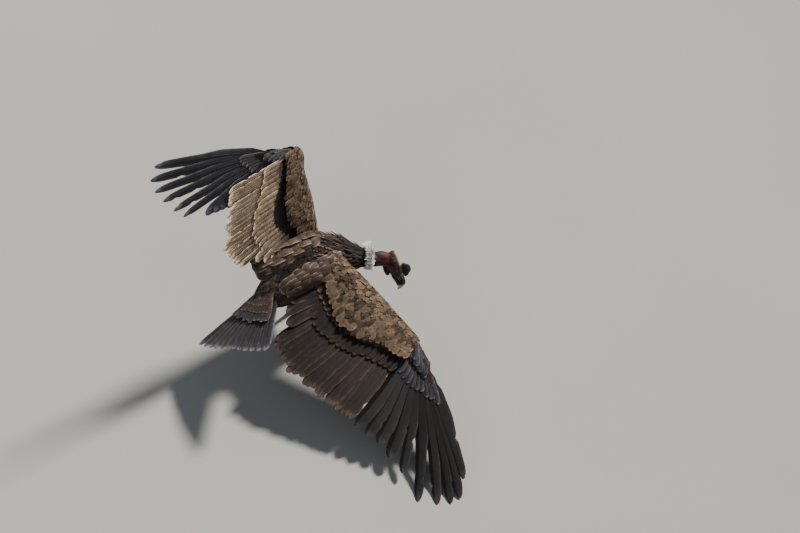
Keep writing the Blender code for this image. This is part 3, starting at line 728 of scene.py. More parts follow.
@dataclass
class PlumeField:
    """Small feathers of one form, set by Geometry Nodes on points and joined."""

    name: str
    form: Form
    finish: Finish
    seed: int
    roots: list[Vector] = field(default_factory=list)
    turns: list[Sequence[float]] = field(default_factory=list)
    sizes: list[Sequence[float]] = field(default_factory=list)
    tints: list[Colour] = field(default_factory=list)
    unwrap: list[tuple[float, float]] = field(default_factory=list)

    def __post_init__(self) -> None:
        """Seeds the field's own chance."""
        self.chance = random.Random(self.seed)

    def add(self, root: Vector, tip: Vector, normal: Vector, width: float, tint: Colour,
            unwrap: tuple[float, float], roll: float = 0.0) -> None:
        """Adds one feather.

        Args:
            root: Where it leaves the skin.
            tip: Where it ends.
            normal: Outward direction between them.
            width: Full width.
            tint: Its own colour.
            unwrap: The root's place on an unwrap of the skin, 0 to 1 each way.
            roll: Turn about its shaft in degrees.
        """
        way = (tip - root).normalized()
        side = normal.cross(way).normalized()
        up = way.cross(side)
        turn = Matrix((way, side, up)).transposed()
        turn = turn @ Matrix.Rotation(math.radians(roll), 3, "X")
        self.roots.append(root)
        self.turns.append(tuple(turn.to_euler()))
        length = (tip - root).length
        self.sizes.append((length, width, length))
        self.tints.append(tint)
        self.unwrap.append(unwrap)

    def template(self) -> bpy.types.Object:
        """One feather of unit length and width along +X, as a closed blade.

        Returns:
            The feather.
        """
        shape = self.form.value
        v = shape.places()
        u = np.array(shape.columns)
        share = shape.shares()
        rise = -0.1 + 0.16 * np.sin(np.pi * np.clip(v * 0.9 + 0.12, 0, 1)) * (1 - 0.3 * v) + 0.09 * v
        top = np.zeros((len(v), len(u), 3))
        top[..., 0] = v[:, None]
        top[..., 1] = share[:, None] * u * 0.5
        top[..., 2] = rise[:, None] - shape.camber * 0.35 * share[:, None] * u * u
        low = top - np.array([0, 0, 0.028])
        quads, _ = shape.faces()
        points = np.concatenate([top.reshape(-1, 3), low[1:-1, 1:-1].reshape(-1, 3)])
        grid = np.stack(np.broadcast_arrays((u[None] + 1) / 2, v[:, None]), -1)
        vane = np.concatenate([grid.reshape(-1, 2), grid[1:-1, 1:-1].reshape(-1, 2)])
        mesh = write_mesh(f"{self.name}_one", points, quads[:, ::-1])
        corner_map(mesh, "Vane", vane[corner_verts(mesh)])
        return stand(mesh.name, mesh)

    def tree(self) -> bpy.types.NodeTree:
        """Geometry Nodes that set the feather on every point, with a little chance.

        Returns:
            The tree.
        """
        tree = bpy.data.node_groups.new(f"{self.name}_nodes", "GeometryNodeTree")
        for name, way, kind in (("Points", "INPUT", "Geometry"), ("Feather", "INPUT", "Object"),
                                ("Finish", "INPUT", "Material"), ("Scatter", "INPUT", "Float"),
                                ("Seed", "INPUT", "Int"), ("Plumage", "OUTPUT", "Geometry")):
            tree.interface.new_socket(name, in_out=way, socket_type=f"NodeSocket{kind}")
        add = tree.nodes.new
        given, made = add("NodeGroupInput"), add("NodeGroupOutput")
        info = add("GeometryNodeObjectInfo")
        info.transform_space = "ORIGINAL"
        turn, size = add("GeometryNodeInputNamedAttribute"), add("GeometryNodeInputNamedAttribute")
        for reader, name in ((turn, "turn"), (size, "size")):
            reader.data_type = "FLOAT_VECTOR"
            reader.inputs["Name"].default_value = name
        chance = add("FunctionNodeRandomValue")
        chance.data_type = "FLOAT_VECTOR"
        low, spread = add("ShaderNodeVectorMath"), add("ShaderNodeVectorMath")
        for scale, end in ((low, -1), (spread, 1)):
            scale.operation = "SCALE"
            scale.inputs[0].default_value = (end, end, end)
        total = add("ShaderNodeVectorMath")
        rotation = add("FunctionNodeEulerToRotation")
        instances = add("GeometryNodeInstanceOnPoints")
        real, dress = add("GeometryNodeRealizeInstances"), add("GeometryNodeSetMaterial")
        for source, output, target, entry in (
                (given, "Points", instances, "Points"), (given, "Feather", info, "Object"),
                (info, "Geometry", instances, "Instance"), (given, "Scatter", low, "Scale"),
                (given, "Scatter", spread, "Scale"), (low, 0, chance, "Min"), (spread, 0, chance, "Max"),
                (given, "Seed", chance, "Seed"), (turn, 0, total, 0), (chance, 0, total, 1),
                (total, 0, rotation, 0), (rotation, 0, instances, "Rotation"), (size, 0, instances, "Scale"),
                (instances, 0, real, 0), (real, 0, dress, 0), (given, "Finish", dress, "Material"),
                (dress, 0, made, 0)):
            tree.links.new(source.outputs[output], target.inputs[entry])
        return tree

    def build(self, slot: str, *nodes: str, scatter: float = 0.05) -> None:
        """Runs the tree, and gives the joined mesh its bake map and its place.

        Args:
            slot: The record's material slot.
            scatter: Most turn by chance, in radians.
            nodes: The CAD nodes it stands for.
        """
        mesh = bpy.data.meshes.new(self.name)
        mesh.from_pydata([tuple(p) for p in self.roots], [], [])
        point_values(mesh, "turn", np.array(self.turns))
        point_values(mesh, "size", np.array(self.sizes))
        point_values(mesh, "tint", with_alpha(np.array(self.tints)))
        point_values(mesh, "span", np.array(self.sizes)[:, 0])
        holder = stand(f"{self.name}_points", mesh)
        one = self.template()
        verts = len(one.data.vertices)
        step = holder.modifiers.new("plumage", "NODES")
        step.node_group = self.tree()
        values = {"Feather": one, "Finish": self.finish.material(), "Scatter": scatter, "Seed": self.seed}
        for item in step.node_group.interface.items_tree:
            if item.name in values:
                step[item.identifier] = values[item.name]
        made = applied(holder)
        bpy.data.objects.remove(one)
        corners = corner_verts(made)
        vane = np.empty(len(corners) * 2, np.float32)
        made.uv_layers["Vane"].data.foreach_get("uv", vane)
        roots = np.array(self.unwrap)[corners // verts]
        corner_map(made, "OFBake", roots * 0.99 + 0.005 + (vane.reshape(-1, 2) - 0.5) * 0.003)
        made.name = self.name
        made.shade_smooth()
        made.set_sharp_from_angle(angle=SHARP_EDGE)
        place_piece(self.name, made, self.finish.material(), slot, *nodes)


class Flesh:
    """Gathers closed bodies and fuses them to one even skin."""

    def __init__(self, name: str) -> None:
        """Starts empty.

        Args:
            name: Name of the skin.
        """
        self.name = name
        self.work = bmesh.new()

    def loft(self, rings: Sequence[Sequence[Vector]]) -> None:
        """Adds a closed body through rings of equal count.

        Args:
            rings: The rings in order.
        """
        count = len(rings[0])
        verts = [[self.work.verts.new(p) for p in ring] for ring in rings]
        faces = []
        for a, b in zip(verts, verts[1:]):
            for k in range(count):
                n = (k + 1) % count
                faces.append(self.work.faces.new((a[k], a[n], b[n], b[k])))
        faces.append(self.work.faces.new(verts[0][::-1]))
        faces.append(self.work.faces.new(verts[-1]))
        bmesh.ops.recalc_face_normals(self.work, faces=faces)

    def blob(self, centre: Vector, axes: Matrix) -> None:
        """Adds an ellipsoid whose half axes are the columns of axes.

        Args:
            centre: Its middle.
            axes: Its half axes.
        """
        made = bmesh.ops.create_uvsphere(self.work, u_segments=24, v_segments=16, radius=1.0)
        for v in made["verts"]:
            v.co = centre + axes @ v.co
        faces = list({f for v in made["verts"] for f in v.link_faces})
        bmesh.ops.recalc_face_normals(self.work, faces=faces)

    def fuse(self, voxel: float, smooth: int) -> bpy.types.Mesh:
        """One closed skin of even faces round everything that was added.

        Args:
            voxel: Grain of the skin.
            smooth: Rounds of smoothing.

        Returns:
            The skin.
        """
        holder = stand(self.name, poured(self.work, self.name))
        step = holder.modifiers.new("fuse", "REMESH")
        step.mode = "VOXEL"
        step.voxel_size = voxel
        if smooth:
            calm = holder.modifiers.new("calm", "SMOOTH")
            calm.iterations = smooth
            calm.factor = SMOOTH_SHARE
        made = applied(holder)
        made.shade_smooth()
        return made


def ring_at(centre: Vector, side: Vector, up: Vector, count: int = 32) -> list[Vector]:
    """Ellipse of points from two half-axis vectors."""
    turns = [2 * math.pi * k / count for k in range(count)]
    return [centre + side * math.cos(a) + up * math.sin(a) for a in turns]


def tube_rings(stations: Sequence[tuple[Vector, float]], steps: int,
               count: int = 24) -> list[list[Vector]]:
    """Rings square to a smooth path through (centre, radius) stations.

    Args:
        stations: Centres and radii.
        steps: How many rings.
        count: Points of each.

    Returns:
        The rings.
    """
    centres = [Vector(c) for c, _ in stations]
    radii = [r for _, r in stations]
    rings = []
    for i in range(steps):
        t = i / (steps - 1)
        way = (smooth_path(centres, t + 0.01) - smooth_path(centres, t - 0.01)).normalized()
        side = way.cross(Vector((0, 0, 1)))
        side = side.normalized() if side.length > 0.2 else Vector((0, 1, 0))
        up = side.cross(way).normalized()
        radius = smooth_path(radii, t)
        rings.append(ring_at(smooth_path(centres, t), side * radius, up * radius, count))
    return rings


def vary(colour: Colour, chance: random.Random, spread: float = 0.18) -> Colour:
    """The colour a little lighter or darker, and a little warmer or cooler.

    Args:
        colour: Where it starts.
        chance: The draws.
        spread: Most change.

    Returns:
        The colour.
    """
    level = 1 + chance.uniform(-spread, spread)
    warm = chance.uniform(-spread, spread) * 0.25
    return (colour[0] * level * (1 + warm), colour[1] * level, colour[2] * level * (1 - warm))


@dataclass
class Trunk:
    """Body from rump to neck root, with its contour feathers and scapulars."""

    stations: tuple = (
        (-0.328, 0.03, 0.368, 0.032, 0.024), (-0.298, 0.026, 0.376, 0.058, 0.046),
        (-0.24, 0.016, 0.39, 0.088, 0.074), (-0.15, 0.006, 0.408, 0.116, 0.106),
        (-0.05, 0.0, 0.426, 0.134, 0.128), (0.03, -0.002, 0.436, 0.136, 0.128),
        (0.088, -0.006, 0.44, 0.118, 0.112), (0.138, -0.024, 0.436, 0.089, 0.089),
        (0.176, -0.044, 0.43, 0.068, 0.072))
    coat: float = 0.009
    row_gap: float = 0.0175
    side_gap: float = 0.021
    top: Colour = srgb(118, 99, 88)
    dark: Colour = srgb(42, 32, 30)
    shadow: Colour = srgb(18, 14, 13)
    belly: Colour = srgb(66, 52, 46)
    scapular: Colour = srgb(158, 136, 120)
    fold: tuple = ((0.0693, 0.0174, 0.5658), (-0.1146, 0.0781, 0.5148), (-0.2722, 0.1393, 0.4723))
    fold_face: Vector = unit(-0.396, -0.472, 0.788)

    def section(self, x: float) -> tuple[float, float, float, float]:
        """Middle y and z, half width and half height at x.

        Args:
            x: Place along the body.

        Returns:
            The four sizes.
        """
        rows = self.stations
        i = max(k for k in range(len(rows) - 1) if rows[k][0] <= x or k == 0)
        place = (x - rows[i][0]) / (rows[i + 1][0] - rows[i][0])
        _, y, z, wide, high = (mix(a, b, place) for a, b in zip(rows[i], rows[i + 1]))
        return y, z, max(wide, 0.012), max(high, 0.01)

    def skin(self, x: float, turn: float, lift: float) -> Vector:
        """A point lift above the skin at x, turn in degrees from the top to the right.

        Args:
            x: Place along the body.
            turn: The angle.
            lift: The height.

        Returns:
            The point.
        """
        y, z, wide, high = self.section(x)
        angle = math.radians(turn)
        return Vector((x, y - (wide + lift) * math.sin(angle), z + (high + lift) * math.cos(angle)))

    def outside(self, point: Vector, lift: float) -> Vector:
        """The point, pushed out where it would lie deeper than lift above the skin.

        Args:
            point: What to move.
            lift: The least height.

        Returns:
            The point.
        """
        if not self.stations[0][0] < point.x < self.stations[-1][0]:
            return point
        y, z, wide, high = self.section(point.x)
        across, above = point.y - y, point.z - z
        share = math.hypot(across / (wide + lift), above / (high + lift))
        if share >= 1 or share < 1e-6:
            return point
        return Vector((point.x, y + across / share, z + above / share))

    def flesh(self, into: Flesh) -> None:
        """Adds the trunk, set in by the depth of its coat.

        Args:
            into: Where it goes.
        """
        into.loft([ring_at(Vector((x, y, z)), Vector((0, max(wide - self.coat, 0.012), 0)),
                           Vector((0, 0, max(high - self.coat, 0.01))))
                   for x, y, z, wide, high in finer(self.stations, 33)])

    def tone(self, x: float, turn: float) -> Colour:
        """Colour of the coat at a place on the body, with painted shade down the back's middle.

        Args:
            x: Place along the body.
            turn: Degrees from the top.

        Returns:
            The colour.
        """
        upper = blend(self.top, self.dark, 0.75 * ease((x - 0.02) / 0.1))
        # painted shade: plumes along the valley between the two scapular groups go near black
        gap = math.exp(-((turn - 2) / 26) ** 2) * ease((x + 0.22) / 0.08)
        upper = blend(upper, self.shadow, 0.95 * gap)
        return blend(upper, self.belly, ease((abs(turn) - 80) / 50))

    def contour(self) -> None:
        """Overlapping feathers over the whole trunk, lying back towards the tail."""
        coat = PlumeField("body_plumes", Form.ROUND, Finish.PLUME, 31)
        chance = coat.chance
        x = self.stations[-1][0] + 0.004
        row = 0
        while x > self.stations[0][0] + 0.006:
            _, _, wide, high = self.section(x)
            around = 2 * math.pi * math.sqrt((wide * wide + high * high) / 2)
            count = max(int(around / self.side_gap), 8)
            for k in range(count):
                turn = 360 * (k + 0.5 * (row % 2) + chance.uniform(-0.2, 0.2)) / count - 180
                low = ease((abs(turn) - 90) / 60)
                reach = mix(0.05, 0.062, low) * chance.uniform(0.9, 1.12)
                root = self.skin(x, turn, -0.008)
                tip = self.skin(x - reach, turn * (1 + 0.02 * low), 0.0045)
                tip.y += chance.uniform(-0.004, 0.004)
                normal = root - self.skin(x, turn, -0.03)
                tint = vary(self.tone(x, turn), chance)
                place = ((x + 0.34) / 0.53, (turn + 180) / 360)
                coat.add(root, tip, normal, reach * 0.56, tint, place, chance.uniform(-7, 7))
            x -= self.row_gap
            row += 1
        coat.build("plumage")

    def scapulars(self) -> None:
        """Tiers of large rounded feathers down the right side of the back."""
        sheet = VaneSheet("scapulars_right", Finish.COVERT, 20)
        chance = sheet.chance
        tiers = ((0.122, 4, 0.07, 0.054), (0.094, 4, 0.09, 0.062), (0.058, 4, 0.11, 0.068),
                 (0.018, 4, 0.13, 0.072), (-0.024, 4, 0.15, 0.074), (-0.066, 4, 0.16, 0.072))
        for tier, (x, count, length, width) in reversed(list(enumerate(tiers))):
            for k in range(count):
                share = (k + 0.5 * (tier % 2)) / (count - 0.5)
                turn = mix(mix(48.0, 31.0, tier / 5), 70.0, share)
                reach = length * chance.uniform(0.92, 1.1)
                puff = 0.01 * (1 - share) + 0.0016 * (5 - tier)
                lifts = (-0.006, 0.012 + puff, 0.018 + puff, 0.013 + puff * 0.5)
                path = [self.skin(x - reach * u, turn * (1 - 0.1 * u), h)
                        for u, h in zip((0.0, 0.3, 0.65, 1.0), lifts)]
                normal = self.skin(x - reach / 2, turn, 0.1) - self.skin(x - reach / 2, turn, 0.0)
                tint = vary(self.scapular, chance, 0.25)
                sheet.add(Form.COVERT, path, normal.normalized(), width, tint, -10.0)
        sheet.build("plumage")

    def shoulder_point(self, share: float, turn: float, lift: float) -> tuple[Vector, Vector]:
        """A place on the raised fold of feathers at the left wing's root.

        Args:
            share: From 0 at the shoulder to 1 at the last tips.
            turn: Degrees round the fold, towards the wing.
            lift: Height above the fold.

        Returns:
            The point and the way outwards there.
        """
        centres = [Vector(c) for c in self.fold]
        centre = smooth_path(centres, min(share, 1.0))
        way = (centres[-1] - centres[0]).normalized()
        across = way.cross(self.fold_face).normalized()
        angle, edge = math.radians(turn), math.radians(62)
        out = across * math.sin(angle) + self.fold_face * math.cos(angle)
        half = along((0.042, 0.06, 0.07, 0.066, 0.052), min(share, 1.0))
        shift = across * (half * math.sin(angle) / math.sin(edge))
        rise = self.fold_face * (half * 0.75 * (math.cos(angle) - math.cos(edge)))
        return centre + shift + rise + out * lift, out

    def shoulder_fold(self) -> None:
        """Large rounded feathers between the back and the root of the raised left wing."""
        sheet = VaneSheet("scapulars_left", Finish.COVERT, 22)
        chance = sheet.chance
        tiers = ((0.0, 3, 0.19, 0.052), (0.07, 4, 0.23, 0.058), (0.16, 3, 0.27, 0.064),
                 (0.26, 4, 0.31, 0.068), (0.37, 3, 0.35, 0.07), (0.48, 4, 0.38, 0.072),
                 (0.58, 3, 0.4, 0.07))
        for deep in (0.022, 0.0):
            for tier, (start, count, length, width) in reversed(list(enumerate(tiers))):
                for k in range(count):
                    turn = mix(-46.0, 58.0, (k + 0.5) / count) + chance.uniform(-4, 4)
                    reach = length * chance.uniform(0.93, 1.07)
                    lifts = [h + 0.0012 * (6 - tier) - deep for h in (-0.008, 0.01, 0.015, 0.01)]
                    spots = [self.shoulder_point(start + reach * u, turn, h)
                             for u, h in zip((0.0, 0.3, 0.65, 1.0), lifts)]
                    tint = vary(self.scapular, chance, 0.25)
                    sheet.add(Form.COVERT, [spot for spot, _ in spots], spots[1][1], width, tint, 9.0)
        sheet.build("plumage")


@dataclass
class Neck:
    """Neck from the chest to the skull: hackles, white collar and bare end."""

    centres: tuple = ((0.115, -0.01, 0.432), (0.168, -0.05, 0.424), (0.217, -0.1, 0.411),
                      (0.262, -0.142, 0.404), (0.308, -0.168, 0.394), (0.34, -0.19, 0.378))
    radii: tuple = (0.066, 0.06, 0.049, 0.04, 0.037, 0.034)
    crown: Vector = unit(0.8562, -0.4295, 0.2885)
    collar_end: float = 0.66
    ruffle: float = 2.2
    ruffled_side: Vector = unit(0.5, 0.6, 0.62)
    hackle: Colour = srgb(58, 44, 44)
    pale: Colour = srgb(112, 92, 80)
    white: Colour = srgb(240, 237, 230)

    def point(self, t: float) -> tuple[Vector, float]:
        """Centre and radius at t, 0 in the chest and 1 at the skull."""
        return smooth_path([Vector(c) for c in self.centres], t), along(self.radii, t)

    def frame(self, t: float) -> tuple[Vector, float, Vector, Vector, Vector]:
        """Centre, radius, way, side and direction of the nape at t.

        Args:
            t: The place.

        Returns:
            All five.
        """
        centre, radius = self.point(t)
        way = (self.point(t + 0.04)[0] - self.point(t - 0.04)[0]).normalized()
        nape = mix(Vector((0, 0, 1)), self.crown, ease(t))
        side = way.cross(nape).normalized()
        return centre, radius, way, side, side.cross(way).normalized()

    def flesh(self, into: Flesh, start: float, end: float, grow: float, steps: int = 20) -> None:
        """Adds a length of the neck.

        Args:
            into: Where it goes.
            start: First place.
            end: Last place.
            grow: Added to the radius.
            steps: How many rings.
        """
        frames = [self.frame(mix(start, end, i / (steps - 1))) for i in range(steps)]
        into.loft([ring_at(centre, side * (radius + grow), nape * (radius + grow))
                   for centre, radius, _, side, nape in frames])

    def ring(self, coat: PlumeField, trunk: Trunk, t: float, count: int, length: float, width: float,
             rise: float, tint: Colour, turn: float) -> None:
        """Adds one ring of feathers that lie back towards the body.

        Args:
            coat: Where they go.
            trunk: What they lie over.
            t: Place along the neck.
            count: How many.
            length: Their length.
            width: Their width.
            rise: Height of the tips.
            tint: Their colour.
            turn: Shift round the neck.
        """
        chance = coat.chance
        for k in range(count):
            angle = 2 * math.pi * (k + turn + chance.uniform(-0.25, 0.25)) / count
            centre, radius, way, side, nape = self.frame(t + chance.uniform(-0.01, 0.01))
            out = nape * math.cos(angle) + side * math.sin(angle)
            root = centre + out * (radius - 0.007)
            reach = length * chance.uniform(0.8, 1.15)
            puff = 1 + self.ruffle * max(out.dot(self.ruffled_side), 0.0)
            lift = rise * puff + chance.uniform(-0.003, 0.005)
            tip = trunk.outside(root - way * reach + out * lift, 0.014)
            place = (t, (angle / (2 * math.pi)) % 1.0)
            coat.add(root, tip, out, width * chance.uniform(0.85, 1.15), vary(tint, chance), place,
                     chance.uniform(-14, 14))

    def hackles(self, trunk: Trunk) -> None:
        """Pointed feathers of the lower neck and mantle.

        Args:
            trunk: What they lie over.
        """
        coat = PlumeField("mantle_plumes", Form.POINTED, Finish.MANTLE, 41)
        rows = 15
        for row in range(rows):
            t = mix(0.02, 0.575, row / (rows - 1))
            share = row / (rows - 1)
            length = mix(0.125, 0.055, share)
            tint = blend(self.pale, self.hackle, ease(share * 1.6))
            self.ring(coat, trunk, t, int(mix(26, 20, share)), length, mix(0.028, 0.018, share),
                      mix(0.022, 0.009, share), tint, 0.5 * (row % 2))
        coat.build("plumage", "neck", scatter=0.1)

    def collar(self, trunk: Trunk) -> None:
        """White down that stands thick round the base of the bare neck.

        Args:
            trunk: What it lies over.
        """
        coat = PlumeField("collar_down", Form.TUFT, Finish.DOWN, 43)
        rows = 11
        for row in range(rows):
            share = row / (rows - 1)
            t = mix(0.585, self.collar_end + 0.005, share)
            for lift in (0.006, 0.015):
                self.ring(coat, trunk, t, 40, mix(0.03, 0.021, share), 0.0065, lift + 0.005 * share,
                          self.white, 0.5 * (row % 2) + lift * 30)
        coat.build("collar_down", "collar", scatter=0.22)


@dataclass(frozen=True)
class WingTones:
    """Colours of one wing's groups of feathers, with that wing's painted light and shade included."""

    lesser: Colour
    lesser_dark: Colour
    median: Colour
    greater: Colour
    secondary: Colour
    primary: Colour
    thumb: Colour
    lining: Colour = srgb(58, 46, 42)


@dataclass
class Wing:
    """One wing as a plane of feathers: places are (outward, backward, above) from the wrist.

    spread is the way from shoulder to wrist, fan and reach are the directions and lengths
    of the primaries, secondary and sweep those of the first and last secondary, and step
    is the share and the shift that place the end of the small coverts behind the bones.
    """

    side: int
    out: Vector
    back: Vector
    spread: float
    fan: tuple[float, ...]
    reach: tuple[float, ...]
    secondary: tuple[float, float]
    sweep: tuple[float, float]
    droop: float
    bulge: float
    sink: float
    step: tuple[float, float]
    wrist_pad: float
    median_length: tuple[float, float]
    tones: WingTones
    humerus: float = 0.27
    ulna: float = 0.31
    hand: float = 0.15
    floor: float = 0.0016
    landing: float = 0.012

    def __post_init__(self) -> None:
        """Works out the wing's axes and the place of its elbow."""
        self.out = self.out.normalized()
        self.back = (self.back - self.out * self.back.dot(self.out)).normalized()
        self.above = self.out.cross(self.back) * self.side
        self.wrist = Vector((0.08, 0.11 * self.side, 0.5)) + self.out * self.spread
        fore = (self.humerus**2 - self.ulna**2 + self.spread**2) / (2 * self.spread)
        self.elbow = (fore, math.sqrt(max(self.humerus**2 - fore**2, 0.0)))
        self.tag = "left" if self.side > 0 else "right"

    def at(self, outward: float, backward: float, above: float = 0.0) -> Vector:
        """A point of the wing, arched behind the bones and drooped towards the tips.

        Args:
            outward: From the wrist to the tip.
            backward: Behind the wrist.
            above: Height over the arch.

        Returns:
            The point.
        """
        bow = max(backward - 0.05, 0.0)
        reach = math.hypot(max(outward, 0.0), bow)
        fall = 0.07 * bow * bow + self.droop * reach * reach
        return self.wrist + self.out * outward + self.back * backward + self.above * (above - fall)

    def settle(self, z: float, low: float) -> float:
        """Lifts what would sink below the floor, so that the tips lie on it.

        Args:
            z: A height.
            low: The lowest of its row.

        Returns:
            The height.
        """
        if low > self.floor + self.landing:
            return z
        fall = (low - self.floor - self.landing) / self.landing
        return z - low + self.floor + self.landing * math.exp(fall)

    def bone_back(self, t: float) -> float:
        """How far behind the shoulder-to-wrist line the bones lie, t from shoulder to wrist.

        Args:
            t: The place.

        Returns:
            The distance.
        """
        at_elbow = self.elbow[0] / self.spread
        bump = t / at_elbow if t < at_elbow else (1 - t) / (1 - at_elbow)
        return self.elbow[1] * ease(max(bump, 0.0))

    def front(self, t: float) -> float:
        """Leading edge of the flesh at t.

        Args:
            t: From the shoulder to the wrist.

        Returns:
            Its place behind the line.
        """
        t = max(t, 0.0)
        edge = -0.018 - 0.018 * (1 - t) - self.bulge * math.sin(math.pi * min(t, 1.0))
        return edge - self.wrist_pad * math.exp(-(((t - 0.94) / 0.13) ** 2))

    def rear(self, t: float) -> float:
        """Rear edge of the flesh at t."""
        return self.bone_back(t) + mix(0.042, 0.02, max(t, 0.0))

    def thick(self, t: float) -> float:
        """Half thickness of the flesh at t."""
        return mix(0.04, 0.015, ease(max(t, 0.0)))

    def step_back(self, t: float) -> float:
        """Where the padded zone of small coverts ends behind the bones."""
        return self.bone_back(t) * self.step[0] + self.step[1]

    def pad(self, t: float, backward: float) -> float:
        """Height of the padded zone of small coverts above the wing's plane.

        Args:
            t: From the shoulder to the wrist.
            backward: Behind the line.

        Returns:
            The height.
        """
        start, end = self.front(t) - 0.004, self.step_back(t)
        s = min(max((backward - start) / (end - start), 0.0), 1.0)
        peak = self.thick(t) + 0.004
        if s < 0.4:
            return peak * math.sqrt(max(1 - ((0.4 - s) / 0.4) ** 2, 0.0))
        return mix(peak, 0.022, ease((s - 0.4) / 0.6))

    def flesh(self, into: Flesh) -> None:
        """Adds the arm and the hand, set in by the depth of the coat.

        Args:
            into: Where they go.
        """
        rings = []
        for i in range(33):
            t = mix(-0.1, 0.99, i / 32)
            front, rear = self.front(t) + 0.006, self.rear(t) - 0.004
            middle = self.at(self.spread * (t - 1), (front + rear) / 2)
            high = self.thick(t) - 0.006
            rings.append(ring_at(middle, self.back * (rear - front) / 2, self.above * high))
        into.loft(rings)
        way = self.hand_way()
        across = way.cross(self.above)
        rings = []
        for t, wide, high in ((-0.06, 0.017, 0.011), (0.01, 0.022, 0.012), (0.4, 0.02, 0.01),
                              (0.97, 0.006, 0.004)):
            centre = self.wrist + way * self.hand * t - self.above * self.sink
            rings.append(ring_at(centre, across * wide, self.above * high))
        into.loft(rings)

    def hand_way(self) -> Vector:
        """Direction of the hand's bones."""
        angle = math.radians(self.fan[-1] - 6)
        return self.out * math.cos(angle) + self.back * math.sin(angle)

    def shaft(self, start: Sequence[float], angle: float, reach: float, heights: Sequence[float]) -> Path:
        """Points of a straight shaft over the wing, one for each height.

        Args:
            start: Its root, outward and backward.
            angle: Its direction from the span.
            reach: Its length.
            heights: Heights above the wing from root to tip.

        Returns:
            The points.
        """
        path = []
        for i, height in enumerate(heights):
            u = i / (len(heights) - 1)
            away = (math.cos(angle) * reach * u, math.sin(angle) * reach * u)
            path.append(self.at(start[0] + away[0], start[1] + away[1], height))
        return path

    def row(self, sheet: VaneSheet, form: Form, count: int, start: tuple[float, float],
            end: tuple[float, float], angles: tuple[float, float], length: tuple[float, float],
            width: float, above: tuple[float, float], tints: Sequence[Colour], under: bool = False) -> None:
        """Adds a tier of the arm's long feathers, from the wrist in towards the shoulder.

        Args:
            sheet: Where the feathers go.
            form: Their kind.
            count: How many.
            start: Share of the arm and shift behind the bones of the first root.
            end: The same of the last root.
            angles: Directions of the first and last, in degrees from the span.
            length: Lengths of the first and last.
            width: Full width of each.
            above: Heights at the root and the tip.
            tints: Colours spread from the first to the last.
            under: True for the lining below the wing.
        """
        chance = sheet.chance
        sign = -1 if under else 1
        for k in range(count):
            share = k / (count - 1)
            t, behind = mix(start[0], end[0], share), mix(start[1], end[1], share)
            outward, backward = self.spread * (t - 1), self.bone_back(t) + behind
            angle = math.radians(mix(angles[0], angles[1], share) + chance.uniform(-1.2, 1.2))
            reach = mix(length[0], length[1], share) * chance.uniform(0.96, 1.04)
            heights = [mix(above[0], above[1], ease(i / 4)) * sign for i in range(5)]
            path = self.shaft((outward, backward), angle, reach, heights)
            tint = vary(along(tints, share), chance, 0.2)
            sheet.add(form, path, self.above * sign, width, tint, -7.0 * self.side * sign, self.settle)

    def flight(self) -> None:
        """Primaries, secondaries and the innermost long feathers."""
        sheet = VaneSheet(f"flight_{self.tag}", Finish.FLIGHT, 51 + self.side)
        outer, inner = self.secondary
        last = self.sweep[1]
        tones = self.tones
        self.row(sheet, Form.FLIGHT, 4, (0.24, 0.01), (0.06, 0.01), (last + 1, last + 8),
                 (inner * 0.82, inner * 0.58), 0.066, (0.004, 0.008), (tones.secondary, tones.greater))
        self.row(sheet, Form.FLIGHT, 20, (0.975, 0.004), (0.28, 0.012), self.sweep,
                 (outer, inner), 0.054, (0.0, 0.0), (tones.secondary, tones.secondary))
        count = len(self.reach)
        for k in range(count):
            angle, reach = math.radians(self.fan[k]), self.reach[k]
            root = self.wrist + self.hand_way() * mix(0.012, self.hand * 0.94, k / (count - 1))
            root = root + self.back * 0.006 - self.above * self.sink
            local = root - self.wrist
            start = (local.dot(self.out), local.dot(self.back))
            goal = (reach * math.cos(angle), reach * math.sin(angle))
            path = []
            for i in range(7):
                t = i / 6
                swing = 0.018 * math.sin(math.pi * t)
                outward, backward = (mix(a, b, t) for a, b in zip(start, goal))
                path.append(self.at(outward + swing, backward, -self.sink))
            path[0] = root
            tint = vary(tones.primary, sheet.chance, 0.12)
            form = Form.FINGER if k >= 4 else Form.FLIGHT
            sheet.add(form, path, self.above, mix(0.078, 0.084, k / (count - 1)), tint,
                      -6.0 * self.side, self.settle)
        sheet.build("flight_feathers", f"wing_hand_{self.tag}")

    def fan_row(self, sheet: VaneSheet, form: Form, count: int, length: tuple[float, float], width: float,
                height: float, tint: Colour, under: bool = False) -> None:
        """Adds a tier of coverts over, or under, the roots of the primaries.

        Args:
            sheet: Where they go.
            form: Their kind.
            count: How many.
            length: Lengths of the first and last.
            width: Full width.
            height: Height at the root.
            tint: Their colour.
            under: True below the wing.
        """
        sign = -1 if under else 1
        for k in range(count):
            share = (k + 0.5) / count
            angle = math.radians(along(self.fan, share))
            root = self.hand_way() * mix(0.014, self.hand * 0.9, share)
            local = (root.dot(self.out), root.dot(self.back))
            reach = mix(length[0], length[1], share) * sheet.chance.uniform(0.95, 1.05)
            heights = [mix(height, height * 0.5, i / 3) * sign - self.sink for i in range(4)]
            path = self.shaft(local, angle, reach, heights)
            sheet.add(form, path, self.above * sign, width, vary(tint, sheet.chance, 0.12),
                      -8.0 * self.side * sign, self.settle)

